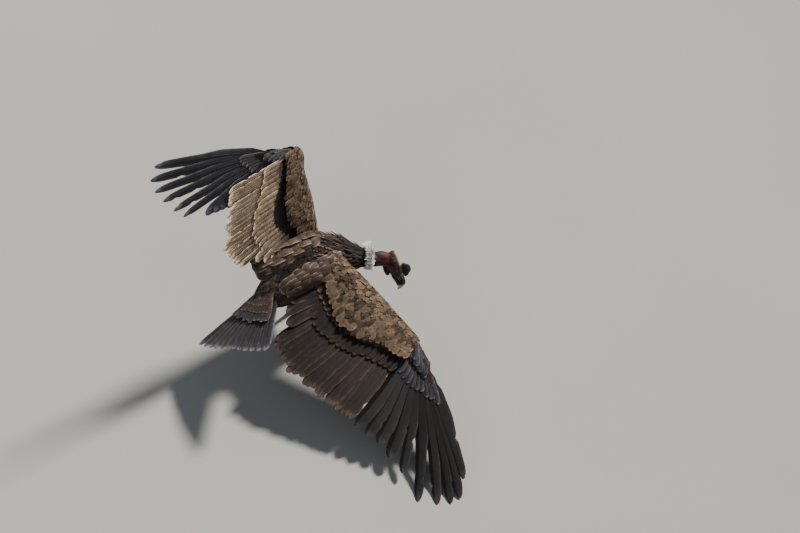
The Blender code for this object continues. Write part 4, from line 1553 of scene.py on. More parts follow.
    def coverts(self) -> None:
        """Greater and median coverts, primary coverts and the thumb's feathers."""
        sheet = VaneSheet(f"coverts_{self.tag}", Finish.COVERT, 61 + self.side)
        first, last = self.sweep
        tones = self.tones
        self.row(sheet, Form.COVERT, 20, (0.985, -0.004), (0.1, 0.0), (first, last + 4),
                 (0.2, 0.25), 0.052, (0.012, 0.007), (tones.greater, tones.greater))
        self.row(sheet, Form.COVERT, 19, (0.97, -0.01), (0.1, -0.006), (first, last + 4),
                 self.median_length, 0.05, (0.016, 0.013), (tones.median, tones.median))
        self.fan_row(sheet, Form.COVERT, 10, (0.17, 0.21), 0.036, 0.01, tones.thumb)
        self.fan_row(sheet, Form.COVERT, 9, (0.1, 0.12), 0.032, 0.015, tones.median)
        for k in range(4):
            angle = math.radians(self.fan[-1] + 5 + 6 * k)
            path = self.shaft((0.01, -0.002), angle, 0.19 - 0.032 * k, [0.015 + 0.003 * k - self.sink] * 4)
            tint = vary(tones.thumb, sheet.chance)
            sheet.add(Form.COVERT, path, self.above, 0.036, tint, -8.0 * self.side, self.settle)
        sheet.build("wing_coverts", f"wing_arm_{self.tag}")

    def under(self) -> None:
        """Long coverts of the underside."""
        sheet = VaneSheet(f"under_coverts_{self.tag}", Finish.COVERT, 71 + self.side)
        first, last = self.sweep
        grey = (srgb(92, 82, 76), srgb(84, 72, 66))
        self.row(sheet, Form.COVERT, 16, (0.98, -0.002), (0.1, 0.0), (first, last + 4),
                 (0.16, 0.2), 0.056, (0.006, 0.006), grey, True)
        self.row(sheet, Form.COVERT, 16, (0.96, -0.008), (0.1, -0.006), (first, last + 4),
                 (0.1, 0.12), 0.052, (0.011, 0.009), grey, True)
        self.fan_row(sheet, Form.COVERT, 9, (0.14, 0.17), 0.036, 0.006, grey[0], True)
        sheet.build("wing_coverts")

    def plumes(self, under: bool) -> None:
        """Small coverts of the padded zone, from the leading edge back to its step.

        Args:
            under: True for the lining below the wing.
        """
        name = f"{'lining' if under else 'small_coverts'}_{self.tag}"
        coat = PlumeField(name, Form.ROUND, Finish.PLUME, 81 + self.side)
        chance = coat.chance
        sign = -1 if under else 1
        tones = self.tones
        rows = 10
        for row in range(rows):
            share = row / (rows - 1)
            length = mix(0.034, 0.07, share)
            width = mix(0.021, 0.038, share)
            count = int(self.spread * 1.12 / (width * 0.68))
            for k in range(count):
                t = mix(1.03, -0.09, (k + 0.5 * (row % 2) + chance.uniform(-0.15, 0.15)) / count)
                start = self.front(t) + (0.014 if under else -0.002)
                end = self.step_back(t) - 0.8 * length
                backward = mix(start, max(end, start), share) + chance.uniform(-0.004, 0.004)
                angle = math.radians(mix(self.sweep[0], self.sweep[1], 1 - t) + chance.uniform(-7, 7))
                reach = length * chance.uniform(0.9, 1.12)
                outward = self.spread * (t - 1)
                goal = (outward + math.cos(angle) * reach, backward + math.sin(angle) * reach)
                root = self.at(outward, backward, (self.pad(t, backward) - 0.004) * sign)
                tip = self.at(*goal, (self.pad(t, goal[1]) + 0.0065) * sign)
                ahead = self.at(outward, backward + 0.006, self.pad(t, backward + 0.006) * sign)
                behind = self.at(outward, backward - 0.006, self.pad(t, backward - 0.006) * sign)
                normal = self.out.cross(ahead - behind) * self.side * sign
                dark = noise.noise(root * 30) + chance.uniform(-0.5, 0.5) > 0.16
                upper = blend(tones.lesser, tones.lesser_dark, 0.8 if dark else 0.0)
                place = (min(max(t * 0.8 + 0.1, 0), 1), 0.1 + 0.8 * share)
                coat.add(root, tip, normal.normalized(), width * chance.uniform(0.9, 1.1),
                         vary(tones.lining if under else upper, chance), place, chance.uniform(-8, 8))
        self.hand_plumes(coat, sign, tones.lining if under else tones.thumb)
        if not under:
            self.edge_plumes(coat)
        coat.build("wing_coverts", scatter=0.06)

    def edge_point(self, t: float, turn: float, lift: float) -> tuple[Vector, Vector]:
        """A place on the rounded leading edge of the arm.

        Args:
            t: From the shoulder to the wrist.
            turn: Degrees above the foremost line.
            lift: Height above the skin.

        Returns:
            The point and the way outwards there.
        """
        front, rear = self.front(t) + 0.002, self.rear(t)
        middle, half, thick = (front + rear) / 2, (rear - front) / 2, self.thick(t) - 0.004
        angle = math.radians(turn)
        point = self.at(self.spread * (t - 1), middle - half * math.cos(angle), thick * math.sin(angle))
        out = (self.above * (math.sin(angle) / thick) - self.back * (math.cos(angle) / half)).normalized()
        return point + out * lift, out

    def edge_plumes(self, coat: PlumeField) -> None:
        """Adds the smallest coverts, which close the leading edge and lie towards the wrist.

        Args:
            coat: Where they go.
        """
        chance = coat.chance
        turns = (-78.0, -62.0, -46.0, -31.0, -17.0, -4.0, 9.0, 22.0, 36.0)
        count = int(self.spread / 0.0155)
        for row, turn in enumerate(turns):
            for k in range(count):
                t = mix(-0.06, 0.985, (k + 0.5 * (row % 2) + chance.uniform(-0.2, 0.2)) / count)
                root, out = self.edge_point(t, turn + chance.uniform(-3, 3), -0.003)
                further = t + chance.uniform(0.028, 0.036) / self.spread
                tip, _ = self.edge_point(further, turn + (14 if turn > 0 else -14), 0.006)
                dark = chance.random() < 0.3
                upper = blend(self.tones.lesser, self.tones.lesser_dark, 0.8 if dark else 0.1)
                tint = blend(upper, self.tones.lining, ease((-turn - 10) / 50))
                place = (min(max(t * 0.8 + 0.1, 0), 1), 0.01 + 0.008 * row)
                coat.add(root, tip, out, 0.02 * chance.uniform(0.9, 1.1), vary(tint, chance), place,
                         chance.uniform(-8, 8))

    def hand_plumes(self, coat: PlumeField, sign: int, tint: Colour) -> None:
        """Adds small coverts over the hand.

        Args:
            coat: Where they go.
            sign: 1 above and -1 below.
            tint: Their colour.
        """
        chance = coat.chance
        way = self.hand_way()
        for row in range(5):
            for k in range(9):
                along_hand = mix(-0.03, self.hand * 0.95, (k + 0.5 * (row % 2)) / 9)
                share = row / 4
                start = way * along_hand
                local = (start.dot(self.out), start.dot(self.back) + mix(-0.02, 0.012, share))
                angle = math.radians(mix(self.fan[0], self.fan[-1], along_hand / self.hand) + 4)
                reach = mix(0.035, 0.06, share)
                height = 0.01 + 0.006 * share
                heights = [(height + lift) * sign - self.sink for lift in (-0.006, 0.003)]
                root, tip = self.shaft(local, angle, reach, heights)
                place = (0.92 + 0.07 * share, 0.1 + 0.8 * max(along_hand, 0) / self.hand)
                coat.add(root, tip, self.above * sign, 0.026, vary(tint, chance), place,
                         chance.uniform(-8, 8))


@dataclass
class Tail:
    """A spread fan of twelve feathers, turned a little to the bird's right."""

    root: Vector = spot(-0.243, 0.033, 0.404)
    way: Vector = unit(-0.9466, -0.3006, -0.1178)
    lean: Vector = spot(-0.252, 0.459, 0.852)
    base: float = 0.036
    spread: float = 32.0
    length: float = 0.38
    count: int = 12
    stump: tuple = ((0.0, 0.036, 0.016), (0.05, 0.05, 0.013), (0.1, 0.066, 0.008), (0.12, 0.07, 0.004))
    slate: Colour = srgb(92, 88, 95)
    brown: Colour = srgb(104, 84, 74)

    def __post_init__(self) -> None:
        """Works out the fan's axes."""
        self.above = (self.lean - self.way * self.lean.dot(self.way)).normalized()
        self.left = self.way.cross(self.above).normalized()

    def path(self, share: float, span: tuple[float, float], heights: Sequence[float]) -> list[Vector]:
        """Shaft of one feather: share runs from -1 at the right edge to 1 at the left.

        Args:
            share: The feather.
            span: Distances of root and tip.
            heights: Heights above the fan.

        Returns:
            The points.
        """
        turn = math.radians(share * self.spread)
        way = self.way * math.cos(turn) + self.left * math.sin(turn)
        foot = self.root + self.left * self.base * share
        path = []
        for i in range(6):
            u = i / 5
            reach = mix(span[0], span[1], u)
            path.append(foot + way * reach + self.above * (along(heights, u) - 0.1 * reach * reach))
        return path

    def flesh(self, into: Flesh) -> None:
        """Adds the fleshy root of the fan.

        Args:
            into: Where it goes.
        """
        into.loft([ring_at(self.root + self.way * reach - self.above * 0.004, self.left * wide,
                           self.above * high) for reach, wide, high in self.stump])

    def feathers(self) -> None:
        """The long feathers, the middle pair on top."""
        sheet = VaneSheet("tail_fan", Finish.FLIGHT, 91)
        order = sorted(range(self.count), key=lambda k: -abs(2 * k + 1 - self.count))
        for k in order:
            share = (2 * k + 1) / self.count - 1
            length = self.length * (1 + (0.16 if share > 0 else 0.07) * abs(share))
            level = -0.012 * abs(share)
            tilt = 5.0 if share > 0 else -5.0
            path = self.path(share, (0.05, length), (level, level))
            sheet.add(Form.FLIGHT, path, self.above, 0.062, vary(self.slate, sheet.chance, 0.1), tilt)
        sheet.build("flight_feathers", "tail")

    def coverts(self) -> None:
        """Tiers of rounded coverts above and below the fan's root."""
        sheet = VaneSheet("tail_coverts", Finish.COVERT, 93)
        tiers = ((11, 0.06, 0.215, 0.044, 0.008, 0.92), (10, 0.03, 0.165, 0.042, 0.013, 0.9),
                 (9, 0.0, 0.12, 0.04, 0.017, 0.85), (7, -0.03, 0.08, 0.038, 0.02, 0.8))
        for sign in (1, -1):
            for tier, (count, start, end, width, height, part) in enumerate(tiers):
                for k in range(count):
                    share = ((2 * k + 1) / count - 1) * part
                    tilt = (6.0 if share > 0 else -6.0) * sign
                    low, high = height * 0.4 * sign, (height + 0.002) * sign
                    path = self.path(share, (start, end * sheet.chance.uniform(0.95, 1.05)),
                                     (low, high, high * 0.9, high * 0.8))
                    tint = blend(self.slate, self.brown, min(tier / 2 + 0.3, 1))
                    sheet.add(Form.COVERT, path, self.above * sign, width, vary(tint, sheet.chance), tilt)
        sheet.build("plumage")


class HeadTone(Enum):
    """Colours of the bare skin of the head, and the painted highlight of its lit crown."""

    BLACK = srgb(34, 26, 26)
    BROWN = srgb(64, 44, 38)
    RED = srgb(76, 15, 12)
    ORANGE = srgb(112, 50, 27)
    CREAM = srgb(190, 164, 134)
    COMB = srgb(40, 40, 44)


@dataclass
class Head:
    """Places on the head are (towards the bill, to the left, towards the crown)."""

    centre: Vector = spot(0.3543, -0.2211, 0.3492)
    bill: Vector = unit(-0.0176, -0.581, -0.8135)
    crown: Vector = unit(0.8562, -0.4295, 0.2885)
    eye_place: tuple[float, float, float] = (0.013, 0.0283, 0.0045)
    eye_radius: float = 0.0079
    skin_voxel: float = 0.0014
    bill_voxel: float = 0.001
    skull: tuple = (
        (-0.078, -0.004, 0.01, 0.01), (-0.07, -0.003, 0.025, 0.025), (-0.048, 0.0, 0.034, 0.036),
        (-0.015, 0.001, 0.0365, 0.0395), (0.012, -0.001, 0.0335, 0.037), (0.034, -0.001, 0.0262, 0.0318),
        (0.0467, 0.0, 0.021, 0.027), (0.052, 0.001, 0.0195, 0.025))
    comb_outline: tuple = (
        (-0.004, 0.038, 0.005), (0.004, 0.043, 0.0125), (0.017, 0.05, 0.0205), (0.036, 0.052, 0.0225),
        (0.052, 0.049, 0.02), (0.064, 0.042, 0.014), (0.071, 0.037, 0.006))
    upper: tuple = (
        (0.047, 0.004, 0.02, 0.0255), (0.062, 0.006, 0.0175, 0.023), (0.08, 0.006, 0.015, 0.02),
        (0.096, 0.004, 0.0135, 0.02), (0.11, -0.003, 0.011, 0.02), (0.12, -0.014, 0.0075, 0.015),
        (0.1235, -0.027, 0.004, 0.009), (0.122, -0.038, 0.0012, 0.0025))
    lower: tuple = (
        (0.038, -0.027, 0.015, 0.007), (0.047, -0.0258, 0.018, 0.0082),
        (0.064, -0.0218, 0.0158, 0.009), (0.082, -0.0185, 0.0128, 0.0086),
        (0.096, -0.0195, 0.0092, 0.0064), (0.104, -0.0225, 0.0046, 0.0034))

    def __post_init__(self) -> None:
        """Works out the head's axes."""
        self.left = self.crown.cross(self.bill).normalized()
        self.up = self.bill.cross(self.left).normalized()
        self.axes = Matrix((self.bill, self.left, self.up)).transposed()

    def at(self, forward: float, left: float, up: float) -> Vector:
        """A point in the head's own frame."""
        return self.centre + self.axes @ Vector((forward, left, up))

    def rings(self, stations: Sequence, steps: int, count: int = 40) -> list[list[Vector]]:
        """Rings across the head through smoothed (forward, up, half width, half height) stations.

        Args:
            stations: Where they go.
            steps: How many.
            count: Points of each.

        Returns:
            The rings.
        """
        least = 0.0004
        return [ring_at(self.at(forward, 0, up), self.left * max(wide, least), self.up * max(high, least),
                        count) for forward, up, wide, high in finer(stations, steps)]

    def blob(self, into: Flesh, centre: Sequence[float], size: Sequence[float], turn: float = 0.0) -> None:
        """Adds an ellipsoid, turned about the left axis in degrees."""
        swing = Matrix.Rotation(math.radians(turn), 3, "Y")
        into.blob(self.at(*centre), self.axes @ swing @ Matrix.Diagonal(Vector(size)))

    def skin(self, neck: Neck) -> None:
        """Bare skin of neck, skull and comb with its folds, lids and colours.

        Args:
            neck: The neck it grows from.
        """
        flesh = Flesh("head_skin")
        flesh.loft(self.rings(self.skull, 30))
        neck.flesh(flesh, neck.collar_end - 0.04, 1.0, -0.001, 24)
        self.blob(flesh, (-0.006, 0, -0.042), (0.042, 0.01, 0.017), 8)
        self.blob(flesh, (-0.06, 0, 0.014), (0.022, 0.026, 0.019), 20)
        self.blob(flesh, (-0.04, 0, -0.046), (0.04, 0.009, 0.016), -24)
        centre, _, way, aside, nape = neck.frame(0.8)
        flesh.blob(centre + nape * 0.01, Matrix((way * 0.052, aside * 0.031, nape * 0.036)).transposed())
        for side in (-1, 1):
            self.blob(flesh, (0.01, side * 0.0262, 0.0195), (0.024, 0.008, 0.006), 12)
            self.blob(flesh, (-0.034, side * 0.029, 0.004), (0.01, 0.008, 0.02), 10)
            self.blob(flesh, (-0.012, side * 0.027, -0.02), (0.022, 0.008, 0.007), -14)
        self.comb_rings(flesh)
        self.blob(flesh, (0.046, 0, 0.0285), (0.018, 0.007, 0.006))
        mesh = flesh.fuse(self.skin_voxel, 5)
        self.fold(mesh)
        place_piece("head_skin", mesh, bare_skin(), "head_skin", "head", "comb")

    def comb_rings(self, flesh: Flesh) -> None:
        """Adds the fleshy crest from the bill's root back over the crown.

        Args:
            flesh: Where it goes.
        """
        rings = []
        for forward, up, high in finer(self.comb_outline, 26):
            thick = 0.0088 * min(1.0, max(high, 0.001) / 0.012) ** 0.5
            rings.append(ring_at(self.at(forward, 0, up), self.left * thick, self.up * max(high, 0.001), 28))
        flesh.loft(rings)

    def measure(self, mesh: bpy.types.Mesh) -> tuple[np.ndarray, np.ndarray, np.ndarray]:
        """Places and normals of the vertices, and their places on the head."""
        places, normals = surface(mesh)
        return places, normals, (places - np.array(self.centre)) @ np.array(self.axes)

    def fold(self, mesh: bpy.types.Mesh) -> None:
        """Presses wrinkles, folds and lids into the skin and paints its regions, with a painted highlight on
        the crown and painted shade in the wrinkles.

        Args:
            mesh: The skin.
        """
        places, normals, local = self.measure(mesh)
        f, s, u = local[:, 0], np.abs(local[:, 1]), local[:, 2]
        rough = np.array([noise.noise(Vector(p) * 90) for p in local])
        fine = np.array([noise.noise(Vector(p) * 240 + Vector((3, 0, 0))) for p in local])
        bend = np.array([noise.noise(Vector(p) * 38 + Vector((0, 7, 0))) for p in local])
        comb = np.clip((u - 0.041) / 0.006, 0, 1) * np.clip((f + 0.012) / 0.008, 0, 1)
        nape = np.clip((-0.034 - f) / 0.02, 0, 1)
        rings = 1 - np.abs(np.sin(f * 560 + bend * 4 + u * 60))
        creases = 1 - np.abs(np.sin(u * 520 + bend * 6 + f * 90))
        eye = np.array(self.eye_place)
        away = np.hypot(f - eye[0], u - eye[2])
        near = s > 0.018
        lid = np.exp(-((away - 0.0072) / 0.0016) ** 2) * near
        lid2 = np.exp(-((away - 0.0112) / 0.0013) ** 2) * near
        calm = 1 - np.exp(-(away / 0.009) ** 4) * near
        side_fold = np.clip((s - 0.012) / 0.012, 0, 1) * (1 - comb)
        push = 0.0011 * rings**3 * nape * (1 - comb) + 0.0008 * creases**3 * side_fold * (1 - nape) * calm
        push += 0.0008 * rough * (1 + comb) * calm + 0.0003 * fine
        push += 0.0016 * lid + 0.0009 * lid2
        # mask of the crown's top, which gets a painted highlight as if lit from above
        crown = np.clip((u - 0.026) / 0.008, 0, 1) * np.clip((-f + 0.004) / 0.008, 0, 1) * (1 - comb)
        push += 0.0012 * crown * (1 - np.abs(np.sin(s * 600 + bend * 5))) ** 2
        tones = {tone: np.array(tone.value) for tone in HeadTone}
        colour = np.tile(tones[HeadTone.BLACK], (len(places), 1))

        def lay(tone: HeadTone, share: np.ndarray) -> None:
            """Blends a colour over the skin.

            Args:
                tone: The colour.
                share: How much of it.
            """
            nonlocal colour
            share = np.clip(share, 0, 1)[:, None]
            colour = colour * (1 - share) + tones[tone] * share

        patchy = 0.5 + 0.9 * bend
        lay(HeadTone.BROWN, 0.6 * patchy)
        lay(HeadTone.RED,
            1.6 * np.exp(-((f + 0.074) / 0.022) ** 2 - ((u + 0.006) / 0.026) ** 2) * (0.7 + bend))
        lay(HeadTone.ORANGE, 1.5 * np.exp(-((f + 0.006) / 0.017) ** 2 - ((u + 0.022) / 0.013) ** 2)
            * np.clip((s - 0.012) / 0.01, 0, 1) * (0.75 + bend))
        # painted highlight: the crown turns pale cream
        lay(HeadTone.CREAM, crown * (0.85 + 0.8 * bend))
        lay(HeadTone.COMB, comb)
        lay(HeadTone.BLACK, np.exp(-((away - 0.006) / 0.0022) ** 2) * near)
        shade = 0.72 + 0.28 * np.clip(rings**2 * nape + creases**2 * side_fold + 0.6, 0, 1)
        repaint(mesh, places + normals * push[:, None], colour * shade[:, None])

    def mandible(self, name: str, stations: Sequence, steps: int, node: str,
                 nostril: bool) -> None:
        """One half of the bill, the upper one with its cere, nostril and hook.

        Args:
            name: The piece's name.
            stations: Its sections.
            steps: How many rings.
            node: The CAD node it stands for.
            nostril: True for the upper half.
        """
        flesh = Flesh(name)
        flesh.loft(self.rings(stations, steps, 36))
        if nostril:
            self.blob(flesh, (0.058, 0, 0.008), (0.013, 0.0205, 0.0235), 0)
        mesh = flesh.fuse(self.bill_voxel, 3)
        places, normals, local = self.measure(mesh)
        f, s, u = local[:, 0], np.abs(local[:, 1]), local[:, 2]
        away = ((f - 0.067) / 0.0062) ** 2 + ((u - 0.01) / 0.003) ** 2
        hole = np.exp(-(away ** 2)) * (s > 0.004) * nostril
        cere, black, ivory = (np.array(srgb(*c)) for c in ((58, 55, 56), (22, 21, 22), (196, 184, 156)))
        a = np.clip((f - 0.074) / 0.008, 0, 1)[:, None]
        b = np.clip((f - 0.1 - (u + 0.004) * 0.25) / 0.012, 0, 1)[:, None]
        colour = cere * (1 - a) + black * a
        colour = colour * (1 - b) + ivory * b
        # painted shade: the nostril is darkened to near black inside its hollow
        repaint(mesh, places + normals * (-0.005 * hole)[:, None], colour * (1 - 0.85 * hole[:, None]))
        place_piece(name, mesh, bill_horn(), "bill", node)

    def eye(self, side: int) -> None:
        """A wet eye with a dark pupil in a red-brown iris.

        Args:
            side: 1 for the left and -1 for the right.
        """
        name = "eyeball_left" if side > 0 else "eyeball_right"
        work = bmesh.new()
        bmesh.ops.create_uvsphere(work, u_segments=40, v_segments=28, radius=self.eye_radius)
        mesh = poured(work, name)
        points = np.array([v.co[:] for v in mesh.vertices])
        outward = points[:, 2] / self.eye_radius
        ring = np.sqrt(np.maximum(1 - outward**2, 0)) * np.where(outward > 0, 1, 9)
        iris, pupil, white = (np.array(srgb(*c)) for c in ((92, 46, 28), (6, 5, 5), (30, 22, 20)))
        a = np.clip((ring - 0.3) / 0.06, 0, 1)[:, None]
        b = np.clip((ring - 0.66) / 0.1, 0, 1)[:, None]
        colour = (pupil * (1 - a) + iris * a) * (1 - b) + white * b
        point_values(mesh, "tone", with_alpha(colour))
        gaze = (self.left * side + self.bill * 0.25 + self.up * 0.08).normalized()
        turn = gaze.to_track_quat("Z", "Y").to_matrix().to_4x4()
        forward, left, up = self.eye_place
        mesh.transform(Matrix.Translation(self.at(forward, left * side, up)) @ turn)
        place_piece(name, mesh, wet_eye(), "eye", "eye_left" if side > 0 else "eye_right")


@dataclass
class Leg:
    """Feathered shank, scaled tarsus and foot of one leg."""

    side: int
    shank: tuple = ((0.01, 0.8, 0.345, 0.055), (-0.01, 0.88, 0.29, 0.06), (-0.046, 0.95, 0.232, 0.05),
                    (-0.08, 0.99, 0.178, 0.033), (-0.102, 1.0, 0.15, 0.02))
    toes: tuple = ((-26.0, 0.088), (0.0, 0.122), (26.0, 0.088), (172.0, 0.042))
    brown: Colour = srgb(70, 55, 48)
    voxel: float = 0.0015

    def __post_init__(self) -> None:
        """Works out the heel and the foot."""
        self.y = FOOT.y * 0.96 * self.side
        self.heel = Vector((-0.112, self.y, 0.128))
        self.foot = Vector((FOOT.x - 0.004, FOOT.y * self.side, 0.026))
        self.tag = "left" if self.side > 0 else "right"

    def stations(self, inset: float) -> list[tuple[Vector, float]]:
        """Centre and radius down the shank."""
        return [(Vector((x, self.y * share, z)), radius - inset) for x, share, z, radius in self.shank]

    def flesh(self, into: Flesh) -> None:
        """Adds the shank, set in by the depth of its coat."""
        into.loft(tube_rings(self.stations(0.008), 14))

    def trousers(self) -> None:
        """Feathers that hang down round the shank."""
        coat = PlumeField(f"trousers_{self.tag}", Form.ROUND, Finish.PLUME, 101 + self.side)
        chance = coat.chance
        stations = self.stations(0.0)
        centres, radii = [c for c, _ in stations], [r for _, r in stations]
        rows = 15
        for row in range(rows):
            t = mix(0.0, 0.97, row / (rows - 1))
            centre, radius = smooth_path(centres, t), smooth_path(radii, t)
            way = (smooth_path(centres, t + 0.02) - smooth_path(centres, t - 0.02)).normalized()
            side = way.cross(Vector((0, 1, 0))).normalized()
            front = side.cross(way)
            count = max(int(2 * math.pi * radius / 0.016), 9)
            for k in range(count):
                angle = 2 * math.pi * (k + 0.5 * (row % 2) + chance.uniform(-0.2, 0.2)) / count
                out = side * math.cos(angle) + front * math.sin(angle)
                reach = mix(0.05, 0.026, row / (rows - 1)) * chance.uniform(0.85, 1.15)
                root = centre + out * (radius - 0.007)
                tip = root + way * reach + out * 0.006
                place = ((1 - t) * 0.9 + 0.05, angle / (2 * math.pi) % 1)
                coat.add(root, tip, out, reach * 0.5, vary(self.brown, chance), place,
                         chance.uniform(-10, 10))
        coat.build("plumage", f"shank_{self.tag}", scatter=0.08)

    def scales(self) -> None:
        """Tarsus and toes with rows of scutes."""
        flesh = Flesh(f"scaled_foot_{self.tag}")
        shin = [(self.heel + Vector((0.004, 0, 0.02)), 0.012), (self.heel, 0.015)]
        shin += [(mix(self.heel, self.foot, t), 0.0112 + 0.002 * abs(t - 0.5)) for t in (0.25, 0.5, 0.75)]
        shin += [(self.foot, 0.0135), (self.foot + Vector((0.006, 0, -0.012)), 0.011)]
        flesh.loft(tube_rings(shin, 30))
        for angle, length in self.toes:
            toe = [(self.toe_point(angle, length, t, high), radius) for t, high, radius in (
                (0.0, 0.016, 0.0108), (0.33, 0.0082, 0.0086), (0.5, 0.0088, 0.0094),
                (0.67, 0.0078, 0.0076), (0.94, 0.0086, 0.0078), (1.0, 0.009, 0.004))]
            flesh.loft(tube_rings(toe, 26, 20))
        flesh.blob(Vector((self.foot.x, self.foot.y, 0.012)), Matrix.Diagonal(Vector((0.024, 0.017, 0.012))))
        mesh = flesh.fuse(self.voxel, 3)
        self.scute(mesh)
        place_piece(flesh.name, mesh, scaled_skin(), "leg_scales", f"tarsus_{self.tag}")

    def toe_point(self, angle: float, length: float, t: float, high: float) -> Vector:
        """A point over a toe's line at share t of its length.

        Args:
            angle: The toe.
            length: Its length.
            t: The share.
            high: The height.

        Returns:
            The point.
        """
        turn = math.radians(angle - 4 * self.side)
        way = (math.cos(turn), math.sin(turn))
        return Vector((self.foot.x + way[0] * length * t, self.foot.y + way[1] * length * t, high))

    def scute(self, mesh: bpy.types.Mesh) -> None:
        """Raises the scutes across the top of the toes and the front of the shin.

        Args:
            mesh: The foot's skin.
        """
        places, normals = surface(mesh)
        away = np.hypot(places[:, 0] - self.foot.x, places[:, 1] - self.foot.y)
        on_toe = places[:, 2] < 0.024
        run = np.where(on_toe, away / 0.0062, (places[:, 2] - 0.024) / 0.0072)
        saw = run % 1.0
        edge = np.minimum(saw, 1 - saw)
        facing = np.where(on_toe, np.clip(normals[:, 2] + 0.1, 0, 1), np.clip(normals[:, 0] + 0.3, 0, 1))
        pebble = np.array([noise.noise(Vector(p) * 420) for p in places])
        push = (0.0009 * np.clip(edge / 0.18, 0, 1) - 0.0003) * facing + 0.0004 * pebble * (1 - facing)
        push = np.where(places[:, 2] < 0.002, 0, push)
        places = places + normals * push[:, None]
        places[:, 2] = np.maximum(places[:, 2], 0.0)
        base, gap = np.array(srgb(98, 92, 88)), np.array(srgb(48, 44, 42))
        share = (np.clip(edge / 0.16, 0, 1) * (0.4 + 0.6 * facing))[:, None]
        repaint(mesh, places, gap * (1 - share) + base * share)

    def claws(self) -> None:
        """Blunt curved claws of the four toes."""
        flesh = Flesh(f"claws_{self.tag}")
        for angle, length in self.toes:
            claw = [(self.toe_point(angle, length, t, high), radius) for t, high, radius in (
                (0.93, 0.0098, 0.0046), (1.02, 0.0118, 0.0048), (1.13, 0.0106, 0.0036),
                (1.21, 0.0064, 0.002), (1.24, 0.0038, 0.0008))]
            flesh.loft(tube_rings(claw, 14, 14))
        mesh = poured(flesh.work, flesh.name)
        place_piece(flesh.name, mesh, claw_horn(), "leg_scales")


def build_skin(trunk: Trunk, neck: Neck, wings: Sequence[Wing], tail: Tail, legs: Sequence[Leg]) -> None:
    """Fuses trunk, neck, arms, hands, tail root and shanks to one skin.

    Args:
        trunk: The trunk.
        neck: The neck.
        wings: Both wings.
        tail: The tail.
        legs: Both legs.
    """
    flesh = Flesh("body_skin")
    trunk.flesh(flesh)
    neck.flesh(flesh, 0.0, neck.collar_end - 0.005, -0.009)
    tail.flesh(flesh)
    for part in (*wings, *legs):
        part.flesh(flesh)
    place_piece("body_skin", flesh.fuse(BODY_VOXEL, 4), body_down(), "plumage", "torso")


@dataclass
class Studio:
    """Pale floor, soft lights and the camera at the photograph's angle."""

    azimuth: float = -40.0
    elevation: float = 52.0
    photo_width: int = 800
    metres_per_pixel: float = 0.005
    distance: float = 14.0
    lamp_distance: float = 4.0
    floor_size: float = 90.0
    floor_tones: tuple[Colour, Colour] = (srgb(150, 149, 146), srgb(158, 157, 155))
    sky: Colour = (0.78, 0.84, 0.92)
    warm: Colour = (1.0, 0.94, 0.85)
    cool: Colour = (0.87, 0.93, 1.0)
    sky_strength: float = 0.24
    shoulder: Vector = spot(0.122, -0.209, 0.5)
    middle: Vector = spot(0.0, -0.4, 0.4)

    def axes(self, azimuth: float, elevation: float) -> tuple[Vector, Vector, Vector]:
        """Right, up and backward directions of a view.

        Args:
            azimuth: Degrees round the bird.
            elevation: Degrees above the floor.

        Returns:
            The three.
        """
        a, e = math.radians(azimuth), math.radians(elevation)
        back = Vector((math.sin(a) * math.cos(e), -math.cos(a) * math.cos(e), math.sin(e)))
        right = Vector((math.cos(a), math.sin(a), 0))
        return right, back.cross(right), back

    def camera(self) -> None:
        """Long lens from behind the right shoulder."""
        right, up, back = self.axes(self.azimuth, self.elevation)
        target = self.shoulder + right * 0.31 - up * 0.0225
        lens = bpy.data.cameras.new("camera")
        lens.sensor_width = 36.0
        lens.lens = lens.sensor_width * self.distance / (self.photo_width * self.metres_per_pixel)
        lens.clip_end = 100
        holder = stand("camera", lens)
        turn = Matrix((right, up, back)).transposed().to_4x4()
        holder.matrix_world = Matrix.Translation(target + back * self.distance) @ turn
        bpy.context.scene.camera = holder

    def lamp(self, name: str, kind: str, way: Sequence[float], power: float, size: float,
             tint: Colour) -> None:
        """Hangs a lamp out from the bird, turned to it.

        Args:
            name: Its name.
            kind: SUN, or AREA for a softbox.
            way: From the bird to it.
            power: Watts, or a sun's strength.
            size: Side, or a sun's width in radians.
            tint: Its colour.
        """
        lamp = bpy.data.lights.new(name, kind)
        lamp.energy, lamp.color = power, tint
        setattr(lamp, "angle" if kind == "SUN" else "size", size)
        out = Vector(way).normalized()
        turn = out.to_track_quat("Z", "Y").to_matrix().to_4x4()
        place = Matrix.Translation(self.middle + out * self.lamp_distance)
        stand(name, lamp).matrix_world = place @ turn

    def build(self) -> None:
        """Sets the stage."""
        self.camera()
        self.lamp("key", "SUN", (0.85, 0.02, 0.85), 7.8, math.radians(8.0), self.warm)
        self.lamp("fill", "AREA", (-1.0, -0.6, 0.7), 18.0, 3.0, self.cool)
        self.lamp("rim", "AREA", (0.2, 1.0, 0.5), 16.0, 2.5, self.cool)
        world = bpy.data.worlds.new("studio")
        bpy.context.scene.world = world
        world.use_nodes = True
        ground = world.node_tree.nodes["Background"]
        ground.inputs[0].default_value = (*self.sky, 1)
        ground.inputs[1].default_value = self.sky_strength
        work = bmesh.new()
        bmesh.ops.create_grid(work, x_segments=1, y_segments=1, size=self.floor_size)
        floor = stand("floor", poured(work, "floor"))
        floor.location.z = -0.0005
        desk = NodeDesk("pale_floor")
        cloud = desk.grain(0.6, 2.0)
        colour = desk.mixed(cloud, *self.floor_tones)
        floor.data.materials.append(desk.close(colour, cloud, 0.0001, 0.85))


